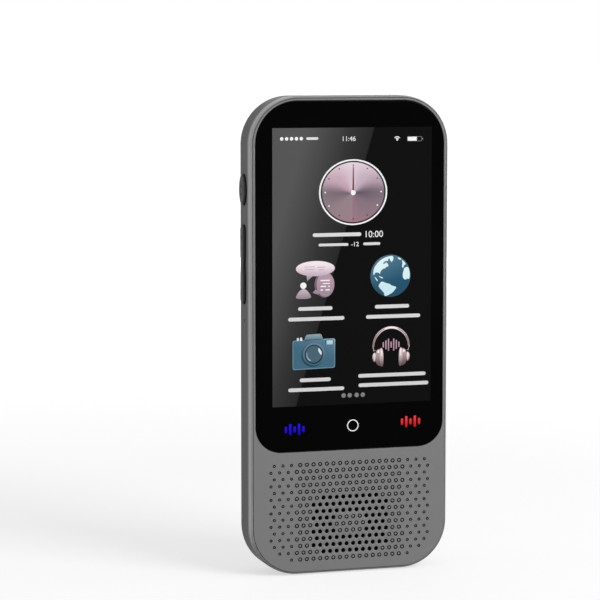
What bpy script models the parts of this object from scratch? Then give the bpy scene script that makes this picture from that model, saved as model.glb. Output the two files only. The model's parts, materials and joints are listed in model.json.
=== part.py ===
"""Handheld voice translator, a closed slab with a glass front, a grille and five side keys.

The device stands upright: +X is its right side as its user sees it, -Y is its front and +Z is up.
The origin is the middle of its foot, halfway through its depth. Depths are counted from the front plane.
"""

import math

import bmesh
import bpy
from mathutils import Vector

MM = 0.001

# Overall body
BODY_WIDTH = 64.4 * MM
BODY_HEIGHT = 148.8 * MM
BODY_DEPTH = 15.4 * MM
BODY_CORNER = 15.0 * MM

# Clearances, shared by all pieces
SEAT_GAP = 0.1 * MM
SIDE_GAP = 0.2 * MM
PLATE_GROOVE = 0.25 * MM
COVER_SEAM = 0.35 * MM
OVERRUN = 1.0 * MM

# Segments in a quarter turn of a corner, and sides of round shapes
CORNER_STEPS = 6
SMALL_STEPS = 3
SPEAKER_STEPS = 4
FRONT_ROUND_STEPS = 4
REAR_ROUND_STEPS = 3
COVER_DOME_STEPS = 6
COVER_INNER_STEPS = 2
PILL_STEPS = 5
ROCKER_END_STEPS = 4
ROCKER_SIDE_STEPS = 8
TURNED_SIDES = 32
OVAL_SIDES = 24
SMALL_SIDES = 10
GRILLE_SIDES = 6
SMOOTH_ANGLE = math.radians(30)

# Shares of the body's height: places above the foot, and heights
HEIGHT_SHARES = {
    "glass": 0.7285,
    "panel": 0.63,
    "panel_below_glass_top": 0.047,
    "rail_bottom": 0.329,
    "rail": 0.161,
    "chassis_bottom": 0.3226,
    "board_bottom": 0.585,
    "can_bottom": 0.6116,
    "can": 0.1613,
    "lower_board_top": 0.262,
    "battery": 0.242,
    "grille_row_pitch": 0.0143,
    "grille_below_glass": 0.0289,
    "sound_centre": 0.1028,
    "sound_field": 0.1183,
    "sound_core": 0.0336,
    "speaker": 0.1411,
    "power_key_up": 0.8065,
    "power_key": 0.0638,
    "rocker_up": 0.6512,
    "rocker": 0.1647,
    "rocker_presses": 0.1156,
    "rocker_tab": 0.0538,
    "function_key_up": 0.8145,
    "function_key": 0.0638,
    "blue_key_up": 0.6996,
    "red_key_up": 0.6035,
    "talk_key": 0.082,
    "left_microphone_up": 0.5336,
    "right_microphone_up": 0.8804,
    "camera_below_top": 0.1263,
    "antenna": 0.047,
    "antenna_below_camera": 0.1075,
}

# Shares of the body's width
WIDTH_SHARES = {
    "panel": 0.854,
    "panel_offset": 0.0101,
    "grille_pitch": 0.0337,
    "grille_edge_pitch": 0.0435,
    "sound_field": 0.3789,
    "sound_core": 0.146,
    "top_rail": 0.3727,
    "can": 0.559,
    "lower_board": 0.4037,
    "battery": 0.7764,
    "protection_board": 0.4658,
    "display_flex": 0.2484,
    "main_flex": 0.1553,
    "speaker": 0.4348,
    "antenna": 0.4348,
}

# Shares of the body's depth: the stack of pieces, the frame band and the keys across it
DEPTH_SHARES = {
    "front_plate": 0.13,
    "frame_band": 0.779,
    "front_round": 0.2338,
    "rear_round": 0.1039,
    "cover_wall": 0.117,
    "panel": 0.1494,
    "board_post": 0.13,
    "battery": 0.4416,
    "speaker": 0.2208,
    "camera_module": 0.2532,
    "key_line": 0.4675,
    "key_board": 0.3247,
    "power_key": 0.4026,
    "function_key": 0.4026,
    "rocker": 0.2468,
    "talk_key": 0.2857,
}

# Mid frame
WALL = 1.6 * MM
LIP_TOP = 0.15 * MM
LIP_DROP = 0.1 * MM
FRONT_ROUND_IN = 0.35 * MM
FRONT_ROUND_DEPTH = BODY_DEPTH * DEPTH_SHARES["front_round"]
REAR_ROUND_IN = 0.5 * MM
REAR_ROUND_DEPTH = BODY_DEPTH * DEPTH_SHARES["rear_round"]
FRAME_DEPTH = BODY_DEPTH * DEPTH_SHARES["frame_band"]
RAIL_REACH = 2.5 * MM
RAIL_THICKNESS = 1.0 * MM
RAIL_HEIGHT = BODY_HEIGHT * HEIGHT_SHARES["rail"]
RAIL_BOTTOM = BODY_HEIGHT * HEIGHT_SHARES["rail_bottom"]
TOP_RAIL_WIDTH = BODY_WIDTH * WIDTH_SHARES["top_rail"]

# Front plate
PLATE_THICKNESS = BODY_DEPTH * DEPTH_SHARES["front_plate"]
PLATE_EDGE = 0.25 * MM
GLASS_GAP = 0.25 * MM
RECESS_DEPTH = 1.0 * MM

# Cover glass, its adhesive and the display panel
GLASS_SIDE_INSET = 1.75 * MM
GLASS_TOP_INSET = 1.6 * MM
GLASS_HEIGHT = BODY_HEIGHT * HEIGHT_SHARES["glass"]
GLASS_THICKNESS = 0.8 * MM
GLASS_EDGE = 0.2 * MM
GLASS_FOOT_CORNER = 8.0 * MM
PANEL_WIDTH = BODY_WIDTH * WIDTH_SHARES["panel"]
PANEL_HEIGHT = BODY_HEIGHT * HEIGHT_SHARES["panel"]
PANEL_THICKNESS = BODY_DEPTH * DEPTH_SHARES["panel"]
PANEL_OFFSET = BODY_WIDTH * WIDTH_SHARES["panel_offset"]
PANEL_CORNER = 2.0 * MM
PANEL_GAP = 0.3 * MM

# Grille
HOLE_RADIUS = 0.68 * MM
EDGE_HOLE_RADIUS = 0.5 * MM
HOLE_PITCH = BODY_WIDTH * WIDTH_SHARES["grille_pitch"]
EDGE_HOLE_PITCH = BODY_WIDTH * WIDTH_SHARES["grille_edge_pitch"]
EDGE_HOLE_COLUMNS = 3
ROW_PITCH = BODY_HEIGHT * HEIGHT_SHARES["grille_row_pitch"]
ROW_COUNT = 15
INNER_HOLES_EACH_SIDE = 8
GRILLE_MARGIN = 4.1 * MM
DIMPLE_DEPTH = 0.5 * MM
DIMPLE_OVERRUN = 0.1 * MM
SOUND_FIELD_WIDTH = BODY_WIDTH * WIDTH_SHARES["sound_field"]
SOUND_FIELD_HEIGHT = BODY_HEIGHT * HEIGHT_SHARES["sound_field"]
SOUND_FIELD_CORNER = 2.0 * MM
SOUND_CORE_WIDTH = BODY_WIDTH * WIDTH_SHARES["sound_core"]
SOUND_CORE_HEIGHT = BODY_HEIGHT * HEIGHT_SHARES["sound_core"]
SOUND_CENTRE_HEIGHT = BODY_HEIGHT * HEIGHT_SHARES["sound_centre"]

# Back cover
COVER_EDGE_INSET = 0.45 * MM
COVER_CHAMFER = 0.25 * MM
COVER_DOME_IN = 8.8 * MM
COVER_WALL = BODY_DEPTH * DEPTH_SHARES["cover_wall"]
SKIRT_THICKNESS = 1.0 * MM

# Chassis plate and board posts
CHASSIS_THICKNESS = 0.6 * MM
CHASSIS_BOTTOM = BODY_HEIGHT * HEIGHT_SHARES["chassis_bottom"]
CHASSIS_FOOT_CORNER = 2.5 * MM
POST_HEIGHT = BODY_DEPTH * DEPTH_SHARES["board_post"]
POST_RADIUS = 2.2 * MM
POST_INSET = 4.4 * MM

# Boards
BOARD_THICKNESS = 1.0 * MM
BOARD_BOTTOM = BODY_HEIGHT * HEIGHT_SHARES["board_bottom"]
BOARD_CORNER = 1.5 * MM
KEY_BOARD_THICKNESS = 0.8 * MM
KEY_BOARD_WIDTH = BODY_DEPTH * DEPTH_SHARES["key_board"]
KEY_BOARD_END = 3.0 * MM
CAN_WIDTH = BODY_WIDTH * WIDTH_SHARES["can"]
CAN_HEIGHT = BODY_HEIGHT * HEIGHT_SHARES["can"]
CAN_DEPTH = 2.0 * MM
CAN_WALL = 0.3 * MM
CAN_BOTTOM = BODY_HEIGHT * HEIGHT_SHARES["can_bottom"]
LOWER_BOARD_WIDTH = BODY_WIDTH * WIDTH_SHARES["lower_board"]
LOWER_BOARD_TOP = BODY_HEIGHT * HEIGHT_SHARES["lower_board_top"]
LOWER_BOARD_THICKNESS = 0.8 * MM

# Screws
SCREW_HEAD_RADIUS = 1.4 * MM
SCREW_HEAD_HEIGHT = 0.8 * MM
SCREW_RADIUS = 0.65 * MM
SCREW_LENGTH = 2.5 * MM

# Battery and flat cables
BATTERY_WIDTH = BODY_WIDTH * WIDTH_SHARES["battery"]
BATTERY_HEIGHT = BODY_HEIGHT * HEIGHT_SHARES["battery"]
BATTERY_THICKNESS = BODY_DEPTH * DEPTH_SHARES["battery"]
BATTERY_CORNER = 2.0 * MM
PROTECTION_WIDTH = BODY_WIDTH * WIDTH_SHARES["protection_board"]
PROTECTION_HEIGHT = 1.6 * MM
PROTECTION_THICKNESS = 3.0 * MM
FLEX_THICKNESS = 0.2 * MM
DISPLAY_FLEX_WIDTH = BODY_WIDTH * WIDTH_SHARES["display_flex"]
MAIN_FLEX_WIDTH = BODY_WIDTH * WIDTH_SHARES["main_flex"]
FLEX_LANDING = 4.0 * MM
FLEX_SLOPE = 3.0 * MM
SHARPEST_FOLD_SHARE = 0.5

# Speaker
SPEAKER_WIDTH = BODY_WIDTH * WIDTH_SHARES["speaker"]
SPEAKER_HEIGHT = BODY_HEIGHT * HEIGHT_SHARES["speaker"]
SPEAKER_DEPTH = BODY_DEPTH * DEPTH_SHARES["speaker"]
SPEAKER_CORNER = 5.0 * MM
SPEAKER_WALL = 1.0 * MM
SPEAKER_FLOOR = 0.6 * MM
MESH_THICKNESS = 0.15 * MM
GASKET_THICKNESS = 0.45 * MM
CONE_RISE = 0.7 * MM
CONE_THICKNESS = 0.3 * MM
CONE_STROKE = 0.3 * MM
MAGNET_RADIUS = 6.0 * MM
SPEAKER_RIB = 1.0 * MM

# Charging socket at the foot
USB_WIDTH = 8.94 * MM
USB_THICKNESS = 3.26 * MM
USB_LENGTH = 7.4 * MM
USB_WALL = 0.3 * MM
USB_RECESS = 0.3 * MM
TONGUE_WIDTH = 6.7 * MM
TONGUE_THICKNESS = 0.7 * MM
TONGUE_RECESS = 0.9 * MM
USB_POST_SPAN = 8.4 * MM
USB_POST_SIZE = 3.4 * MM
USB_POST_HEIGHT = 6.0 * MM

# Side keys: places above the foot, sizes and travel
KEY_LINE_DEPTH = BODY_DEPTH * DEPTH_SHARES["key_line"]
KEY_PROUD = 0.9 * MM
KEY_EDGE = 0.3 * MM
KEY_TRAVEL = 0.35 * MM
FLANGE_THICKNESS = 0.7 * MM
FLANGE_REACH = 0.7 * MM
POWER_HEIGHT_UP = BODY_HEIGHT * HEIGHT_SHARES["power_key_up"]
POWER_KEY_WIDTH = BODY_DEPTH * DEPTH_SHARES["power_key"]
POWER_KEY_HEIGHT = BODY_HEIGHT * HEIGHT_SHARES["power_key"]
ROCKER_HEIGHT_UP = BODY_HEIGHT * HEIGHT_SHARES["rocker_up"]
ROCKER_WIDTH = BODY_DEPTH * DEPTH_SHARES["rocker"]
ROCKER_HEIGHT = BODY_HEIGHT * HEIGHT_SHARES["rocker"]
ROCKER_WAIST = 0.35 * MM
ROCKER_WAIST_SPAN = 2.6 * MM
ROCKER_PRESS_SPAN = BODY_HEIGHT * HEIGHT_SHARES["rocker_presses"]
ROCKER_TAB_HEIGHT = BODY_HEIGHT * HEIGHT_SHARES["rocker_tab"]
FUNCTION_HEIGHT_UP = BODY_HEIGHT * HEIGHT_SHARES["function_key_up"]
FUNCTION_KEY_WIDTH = BODY_DEPTH * DEPTH_SHARES["function_key"]
FUNCTION_KEY_HEIGHT = BODY_HEIGHT * HEIGHT_SHARES["function_key"]
BLUE_HEIGHT_UP = BODY_HEIGHT * HEIGHT_SHARES["blue_key_up"]
RED_HEIGHT_UP = BODY_HEIGHT * HEIGHT_SHARES["red_key_up"]
TALK_KEY_WIDTH = BODY_DEPTH * DEPTH_SHARES["talk_key"]
TALK_KEY_HEIGHT = BODY_HEIGHT * HEIGHT_SHARES["talk_key"]

# Tact switches behind the keys
SWITCH_DEPTH = 1.4 * MM
SWITCH_WIDTH = 3.2 * MM
SWITCH_HEIGHT = 4.4 * MM
PLUNGER_RADIUS = 0.8 * MM
PLUNGER_LENGTH = 0.8 * MM
PLUNGER_GAP = 0.15 * MM
PRESS_ROOM = 0.2 * MM

# Microphones
MIC_HOLE_RADIUS = 0.6 * MM
MIC_LEFT_HEIGHT_UP = BODY_HEIGHT * HEIGHT_SHARES["left_microphone_up"]
MIC_RIGHT_HEIGHT_UP = BODY_HEIGHT * HEIGHT_SHARES["right_microphone_up"]
MIC_BODY = 3.0 * MM
MIC_BODY_HEIGHT = 3.8 * MM
MIC_BODY_DEPTH = 1.1 * MM
BOOT_RADIUS = 1.6 * MM

# Camera
RING_RADIUS = 7.4 * MM
RING_PROUD = 0.4 * MM
RING_BORE = 3.3 * MM
RING_SEAT_DEPTH = 0.9 * MM
RING_EDGE = 0.2 * MM
RING_DISH = 0.25 * MM
COVER_BORE = 4.2 * MM
WINDOW_THICKNESS = 0.6 * MM
WINDOW_RECESS = 0.4 * MM
BARREL_RADIUS = 3.6 * MM
LENS_SEAT_RADIUS = 1.8 * MM
LENS_SEAT_DEPTH = 0.9 * MM
LENS_MOUTH_RADIUS = 2.8 * MM
LENS_RADIUS = 1.6 * MM
LENS_RISE = 0.5 * MM
MODULE_SIZE = 8.6 * MM
MODULE_DEPTH = BODY_DEPTH * DEPTH_SHARES["camera_module"]

# Antenna
ANTENNA_WIDTH = BODY_WIDTH * WIDTH_SHARES["antenna"]
ANTENNA_HEIGHT = BODY_HEIGHT * HEIGHT_SHARES["antenna"]
ANTENNA_THICKNESS = 0.15 * MM

# Derived places
FRONT_Y = -(BODY_DEPTH + RING_PROUD) / 2
HALF_WIDTH = BODY_WIDTH / 2
HALF_HEIGHT = BODY_HEIGHT / 2
INNER_HALF = HALF_WIDTH - WALL
LIP_INSET = FRONT_ROUND_IN + LIP_TOP
PLATE_INSET = LIP_INSET + PLATE_GROOVE
GLASS_TOP = BODY_HEIGHT - GLASS_TOP_INSET
GLASS_BOTTOM = GLASS_TOP - GLASS_HEIGHT
TOP_ROW = GLASS_BOTTOM - BODY_HEIGHT * HEIGHT_SHARES["grille_below_glass"]
PANEL_FRONT = GLASS_THICKNESS + SEAT_GAP
PANEL_BACK = PANEL_FRONT + PANEL_THICKNESS
PANEL_TOP = GLASS_TOP - BODY_HEIGHT * HEIGHT_SHARES["panel_below_glass_top"]
PANEL_BOTTOM = PANEL_TOP - PANEL_HEIGHT
CHASSIS_FRONT = PANEL_BACK + SEAT_GAP
CHASSIS_BACK = CHASSIS_FRONT + CHASSIS_THICKNESS
POST_BACK = CHASSIS_BACK + POST_HEIGHT
BOARD_FRONT = POST_BACK + SEAT_GAP
BOARD_BACK = BOARD_FRONT + BOARD_THICKNESS
BATTERY_FRONT = CHASSIS_BACK + SEAT_GAP
BATTERY_BACK = BATTERY_FRONT + BATTERY_THICKNESS
BATTERY_BOTTOM = CHASSIS_BOTTOM + SIDE_GAP
BATTERY_TOP = BATTERY_BOTTOM + BATTERY_HEIGHT
FLANGE_OUTER = INNER_HALF - SEAT_GAP
FLANGE_INNER = FLANGE_OUTER - FLANGE_THICKNESS
CHASSIS_HALF = FLANGE_INNER - KEY_TRAVEL - SIDE_GAP
SWITCH_FACE = FLANGE_INNER - KEY_TRAVEL - PRESS_ROOM
SWITCH_BACK = SWITCH_FACE - SWITCH_DEPTH
KEY_BOARD_FACE = SWITCH_BACK - SEAT_GAP
KEY_BOARD_BACK = KEY_BOARD_FACE - KEY_BOARD_THICKNESS
BOARD_HALF = KEY_BOARD_BACK - PANEL_GAP
BOARD_INSET = HALF_WIDTH - BOARD_HALF
BOARD_TOP = BODY_HEIGHT - BOARD_INSET
CAMERA_UP = BODY_HEIGHT - BODY_HEIGHT * HEIGHT_SHARES["camera_below_top"]
ANTENNA_TOP = CAMERA_UP - BODY_HEIGHT * HEIGHT_SHARES["antenna_below_camera"]
COVER_FRONT = FRAME_DEPTH + COVER_SEAM
COVER_INNER = BODY_DEPTH - COVER_WALL
SKIRT_FRONT = KEY_LINE_DEPTH + POWER_KEY_WIDTH / 2 + FLANGE_REACH + SIDE_GAP
MESH_FRONT = PLATE_THICKNESS + SEAT_GAP
GASKET_FRONT = MESH_FRONT + MESH_THICKNESS + SEAT_GAP
BASKET_FRONT = GASKET_FRONT + GASKET_THICKNESS + SEAT_GAP
BASKET_BACK = BASKET_FRONT + SPEAKER_DEPTH
USB_CENTRE_DEPTH = BASKET_BACK + SIDE_GAP + USB_THICKNESS / 2
USB_BACK = USB_CENTRE_DEPTH + USB_THICKNESS / 2
LOWER_BOARD_FRONT = USB_BACK + SEAT_GAP
LOWER_BOARD_BACK = LOWER_BOARD_FRONT + LOWER_BOARD_THICKNESS
LEFT, RIGHT = -1, 1


# Materials

def make_material(name, colour, roughness, metallic=0.0, alpha=1.0):
    material = bpy.data.materials.new(name)
    material.use_nodes = True
    shader = material.node_tree.nodes["Principled BSDF"]
    shader.inputs["Base Color"].default_value = (*colour, 1.0)
    shader.inputs["Roughness"].default_value = roughness
    shader.inputs["Metallic"].default_value = metallic
    shader.inputs["Alpha"].default_value = alpha
    return material


def make_materials():
    return {
        "grey_shell": make_material("grey_shell", (0.19, 0.19, 0.19), 0.5),
        "black_glass": make_material("black_glass", (0.004, 0.004, 0.005), 0.06),
        "display": make_material("display", (0.02, 0.02, 0.024), 0.3),
        "adhesive": make_material("adhesive", (0.02, 0.02, 0.02), 0.8),
        "flex": make_material("flex", (0.35, 0.16, 0.04), 0.5),
        "steel": make_material("steel", (0.55, 0.55, 0.57), 0.35, 1.0),
        "board": make_material("board", (0.02, 0.12, 0.05), 0.5),
        "battery": make_material("battery", (0.45, 0.46, 0.48), 0.4, 0.6),
        "black_plastic": make_material("black_plastic", (0.015, 0.015, 0.016), 0.55),
        "cloth": make_material("cloth", (0.008, 0.008, 0.008), 0.9),
        "rubber": make_material("rubber", (0.02, 0.02, 0.02), 0.85),
        "dark_metal": make_material("dark_metal", (0.03, 0.03, 0.032), 0.3, 1.0),
        "lens": make_material("lens", (0.02, 0.015, 0.05), 0.05),
        "clear_glass": make_material("clear_glass", (0.02, 0.02, 0.03), 0.03, 0.0, 0.4),
        "key_grey": make_material("key_grey", (0.11, 0.11, 0.11), 0.45),
        "key_blue": make_material("key_blue", (0.08, 0.08, 0.22), 0.45),
        "key_red": make_material("key_red", (0.2, 0.07, 0.07), 0.45),
    }


# Outlines, as lists of (across, up) points centred on zero and running anticlockwise

def arc(centre, radius, start, steps):
    turn = math.pi / 2 / steps
    return [
        (
            centre[0] + radius * math.cos(start + turn * step),
            centre[1] + radius * math.sin(start + turn * step),
        )
        for step in range(steps + 1)
    ]


def rounded_rect(width, height, corner, foot_corner=None, steps=CORNER_STEPS):
    foot = corner if foot_corner is None else foot_corner
    half_width, half_height = width / 2, height / 2
    return (
        arc((half_width - corner, half_height - corner), corner, 0, steps)
        + arc((corner - half_width, half_height - corner), corner, math.pi / 2, steps)
        + arc((foot - half_width, foot - half_height), foot, math.pi, steps)
        + arc((half_width - foot, foot - half_height), foot, math.pi * 3 / 2, steps)
    )


def circle(radius, sides):
    turn = math.tau / sides
    return [(radius * math.cos(turn * side), radius * math.sin(turn * side)) for side in range(sides)]


def oval(width, height):
    turn = math.tau / OVAL_SIDES
    return [
        (width / 2 * math.cos(turn * side), height / 2 * math.sin(turn * side))
        for side in range(OVAL_SIDES)
    ]


def pill(width, height, steps=PILL_STEPS, side_steps=1, waist=0.0):
    """Two half circles with straight sides, drawn in by waist at mid height."""
    radius = width / 2
    straight = height / 2 - radius
    top = arc((0, straight), radius, 0, steps) + arc((0, straight), radius, math.pi / 2, steps)[1:]
    left_side = [
        (-radius, straight - 2 * straight * step / side_steps) for step in range(1, side_steps)
    ]
    upper = top + left_side
    lower = [(-across, -up) for across, up in upper]
    drawn = []
    for across, up in upper + lower:
        pull = waist * math.exp(-((up / ROCKER_WAIST_SPAN) ** 2))
        drawn.append((math.copysign(max(abs(across) - pull, 0), across), up))
    return drawn


# Placing outlines in space

def facing_front(outline, depth, centre_x=0.0, centre_z=0.0):
    return [Vector((centre_x + across, FRONT_Y + depth, centre_z + up)) for across, up in outline]


def facing_side(outline, x, centre_z, centre_depth=KEY_LINE_DEPTH):
    return [Vector((x, FRONT_Y + centre_depth + across, centre_z + up)) for across, up in outline]


def facing_foot(outline, z, centre_x, centre_depth):
    return [Vector((centre_x + across, FRONT_Y + centre_depth + up, z)) for across, up in outline]


def body_ring(inset, depth):
    """The body's outline drawn in by inset, at one depth."""
    outline = rounded_rect(BODY_WIDTH - 2 * inset, BODY_HEIGHT - 2 * inset, BODY_CORNER - inset)
    return facing_front(outline, depth, 0.0, HALF_HEIGHT)


# Solids

def object_from_mesh(name, shape, material):
    bmesh.ops.recalc_face_normals(shape, faces=shape.faces)
    mesh = bpy.data.meshes.new(name)
    shape.to_mesh(mesh)
    shape.free()
    solid = bpy.data.objects.new(name, mesh)
    bpy.context.scene.collection.objects.link(solid)
    if material is not None:
        mesh.materials.append(material)
    return solid


def loft(name, rings, material=None, closed=False):
    """Skins a row of rings. A closed row joins its last ring to its first, and an open one is capped."""
    shape = bmesh.new()
    rows = [[shape.verts.new(point) for point in ring] for ring in rings]
    pairs = list(zip(rows, rows[1:]))
    if closed:
        pairs.append((rows[-1], rows[0]))
    else:
        shape.faces.new(rows[0])
        shape.faces.new(rows[-1])
    for first, second in pairs:
        for index in range(len(first)):
            after = (index + 1) % len(first)
            shape.faces.new((first[index], first[after], second[after], second[index]))
    return object_from_mesh(name, shape, material)


def plate(name, outline, front, back, material=None, centre_x=0.0, centre_z=0.0, edge=0.0):
    """A flat piece that faces the front. Its front edge is chamfered by edge."""
    rings = [facing_front(outline, back, centre_x, centre_z)]
    rings.append(facing_front(outline, front + edge, centre_x, centre_z))
    if edge > 0:
        drawn_in = shrink(outline, edge)
        rings.append(facing_front(drawn_in, front, centre_x, centre_z))
    return loft(name, rings, material)


def shrink(outline, amount):
    """Draws an outline in by scaling each axis, which keeps its point count."""
    half_width = max(across for across, up in outline)
    half_height = max(up for across, up in outline)
    return [
        (across * (1 - amount / half_width), up * (1 - amount / half_height)) for across, up in outline
    ]


def box(name, low, high, material=None):
    """A block between two corners, each given as (x, depth, z)."""
    shape = bmesh.new()
    corners = [
        shape.verts.new((x, FRONT_Y + depth, z))
        for x in (low[0], high[0])
        for depth in (low[1], high[1])
        for z in (low[2], high[2])
    ]
    for face in ((0, 1, 3, 2), (4, 6, 7, 5), (0, 4, 5, 1), (2, 3, 7, 6), (0, 2, 6, 4), (1, 5, 7, 3)):
        shape.faces.new([corners[index] for index in face])
    return object_from_mesh(name, shape, material)


def side_box(name, side, inner, outer, centre_depth, width, centre_z, height, material=None):
    """A block on one side of the body, between two distances from the middle."""
    xs = sorted((side * inner, side * outer))
    return box(
        name,
        (xs[0], centre_depth - width / 2, centre_z - height / 2),
        (xs[1], centre_depth + width / 2, centre_z + height / 2),
        material,
    )


def turned(name, profile, sides, centre_x, centre_z, material=None, closed=False):
    """A piece turned about an axis through the body's depth. The profile holds (radius, depth) pairs."""
    rings = [
        facing_front(circle(radius, sides), depth, centre_x, centre_z) for radius, depth in profile
    ]
    return loft(name, rings, material, closed)


def side_turned(name, side, profile, sides, centre_z, material=None, closed=False):
    """A piece turned about an axis across the body. The profile holds (radius, distance out) pairs."""
    rings = [facing_side(circle(radius, sides), side * out, centre_z) for radius, out in profile]
    return loft(name, rings, material, closed)


def combine(target, others, operation):
    """Applies one exact Boolean for each of the others, then removes them."""
    for other in others:
        step = target.modifiers.new(operation.lower(), "BOOLEAN")
        step.operation = operation
        step.solver = "EXACT"
        step.object = other
        shaped = bpy.data.meshes.new_from_object(
            target.evaluated_get(bpy.context.evaluated_depsgraph_get())
        )
        target.modifiers.clear()
        old = target.data
        shaped.name = old.name
        target.data = shaped
        bpy.data.meshes.remove(old)
        spare = other.data
        bpy.data.objects.remove(other)
        bpy.data.meshes.remove(spare)
    return target


def cut(target, others):
    return combine(target, others, "DIFFERENCE")


def fuse(target, others):
    return combine(target, others, "UNION")


def joined_cutter(name, pairs):
    """One cutter of many separate prisms and cones. Each has a near ring and a far ring or a tip."""
    shape = bmesh.new()
    for near, far in pairs:
        first = [shape.verts.new(point) for point in near]
        second = [shape.verts.new(point) for point in far]
        shape.faces.new(first)
        if len(second) > 1:
            shape.faces.new(second)
        for index in range(len(first)):
            after = (index + 1) % len(first)
            end = [second[0]] if len(second) == 1 else [second[after], second[index]]
            shape.faces.new([first[index], first[after], *end])
    return object_from_mesh(name, shape, None)


# Side keys as a table: side, height above the foot, outline maker and material

def power_outline(grow=0.0):
    return oval(POWER_KEY_WIDTH + 2 * grow, POWER_KEY_HEIGHT + 2 * grow)


def function_outline(grow=0.0):
    return oval(FUNCTION_KEY_WIDTH + 2 * grow, FUNCTION_KEY_HEIGHT + 2 * grow)


def talk_outline(grow=0.0):
    return pill(TALK_KEY_WIDTH + 2 * grow, TALK_KEY_HEIGHT + 2 * grow)


def rocker_outline(grow=0.0):
    return pill(
        ROCKER_WIDTH + 2 * grow,
        ROCKER_HEIGHT + 2 * grow,
        ROCKER_END_STEPS,
        ROCKER_SIDE_STEPS,
        ROCKER_WAIST,
    )


KEYS = {
    "power_key": (LEFT, POWER_HEIGHT_UP, power_outline, "key_grey"),
    "function_key": (RIGHT, FUNCTION_HEIGHT_UP, function_outline, "key_grey"),
    "blue_key": (RIGHT, BLUE_HEIGHT_UP, talk_outline, "key_blue"),
    "red_key": (RIGHT, RED_HEIGHT_UP, talk_outline, "key_red"),
}
SWITCHES = {
    "power": (LEFT, POWER_HEIGHT_UP, "power_key"),
    "volume_up": (LEFT, ROCKER_HEIGHT_UP + ROCKER_PRESS_SPAN / 2, "volume_rocker"),
    "volume_down": (LEFT, ROCKER_HEIGHT_UP - ROCKER_PRESS_SPAN / 2, "volume_rocker"),
    "function": (RIGHT, FUNCTION_HEIGHT_UP, "function_key"),
    "blue": (RIGHT, BLUE_HEIGHT_UP, "blue_key"),
    "red": (RIGHT, RED_HEIGHT_UP, "red_key"),
}
MICROPHONES = {
    "left": (LEFT, MIC_LEFT_HEIGHT_UP),
    "right": (RIGHT, MIC_RIGHT_HEIGHT_UP),
}


# Mid frame

def frame_profile():
    """(inset, depth) pairs from the lip's top round the outside to the rear edge."""
    profile = [(LIP_INSET, LIP_DROP)]
    for step in range(FRONT_ROUND_STEPS + 1):
        angle = math.pi / 2 * step / FRONT_ROUND_STEPS
        inset = FRONT_ROUND_IN * (1 - math.sin(angle))
        profile.append((inset, LIP_DROP + (FRONT_ROUND_DEPTH - LIP_DROP) * (1 - math.cos(angle))))
    for step in range(REAR_ROUND_STEPS + 1):
        angle = math.pi / 2 * step / REAR_ROUND_STEPS
        inset = REAR_ROUND_IN * (1 - math.cos(angle))
        profile.append((inset, FRAME_DEPTH - REAR_ROUND_DEPTH * (1 - math.sin(angle))))
    return profile


def key_slot(outline, side, centre_z):
    return loft(
        "slot",
        [
            facing_side(outline, side * (INNER_HALF - OVERRUN), centre_z),
            facing_side(outline, side * (HALF_WIDTH + OVERRUN), centre_z),
        ],
    )


def frame_rails():
    """Ledges behind the chassis plate, on both sides and at the top."""
    front = CHASSIS_BACK + SEAT_GAP
    back = front + RAIL_THICKNESS
    rails = [
        side_box(
            "rail",
            side,
            INNER_HALF - RAIL_REACH,
            INNER_HALF + WALL / 2,
            (front + back) / 2,
            RAIL_THICKNESS,
            RAIL_BOTTOM + RAIL_HEIGHT / 2,
            RAIL_HEIGHT,
        )
        for side in (LEFT, RIGHT)
    ]
    top = BODY_HEIGHT - WALL
    rails.append(
        box(
            "rail",
            (-TOP_RAIL_WIDTH / 2, front, top - RAIL_REACH),
            (TOP_RAIL_WIDTH / 2, back, top + WALL / 2),
        )
    )
    return rails


def speaker_ribs():
    """Two ribs on the foot wall that hold the speaker's sides."""
    inner = SPEAKER_WIDTH / 2 + SIDE_GAP
    low = SOUND_CENTRE_HEIGHT - SPEAKER_HEIGHT / 4
    return [
        box(
            "rib",
            (min(side * inner, side * (inner + SPEAKER_RIB)), MESH_FRONT, WALL / 2),
            (max(side * inner, side * (inner + SPEAKER_RIB)), BASKET_BACK, low + SPEAKER_HEIGHT / 2),
        )
        for side in (LEFT, RIGHT)
    ]


def usb_posts():
    """Two posts on the foot wall that carry the lower board."""
    return [
        box(
            "post",
            (side * USB_POST_SPAN - USB_POST_SIZE / 2, BASKET_BACK + SIDE_GAP, WALL / 2),
            (
                side * USB_POST_SPAN + USB_POST_SIZE / 2,
                LOWER_BOARD_FRONT - SEAT_GAP,
                WALL + USB_POST_HEIGHT,
            ),
        )
        for side in (LEFT, RIGHT)
    ]


def usb_post_height():
    return WALL + USB_POST_HEIGHT - USB_POST_SIZE / 2


def screw_hole(x, z, front, back):
    return turned(
        "screw_hole",
        [(SCREW_RADIUS + PLUNGER_GAP, front), (SCREW_RADIUS + PLUNGER_GAP, back)],
        SMALL_SIDES,
        x,
        z,
    )


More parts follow.
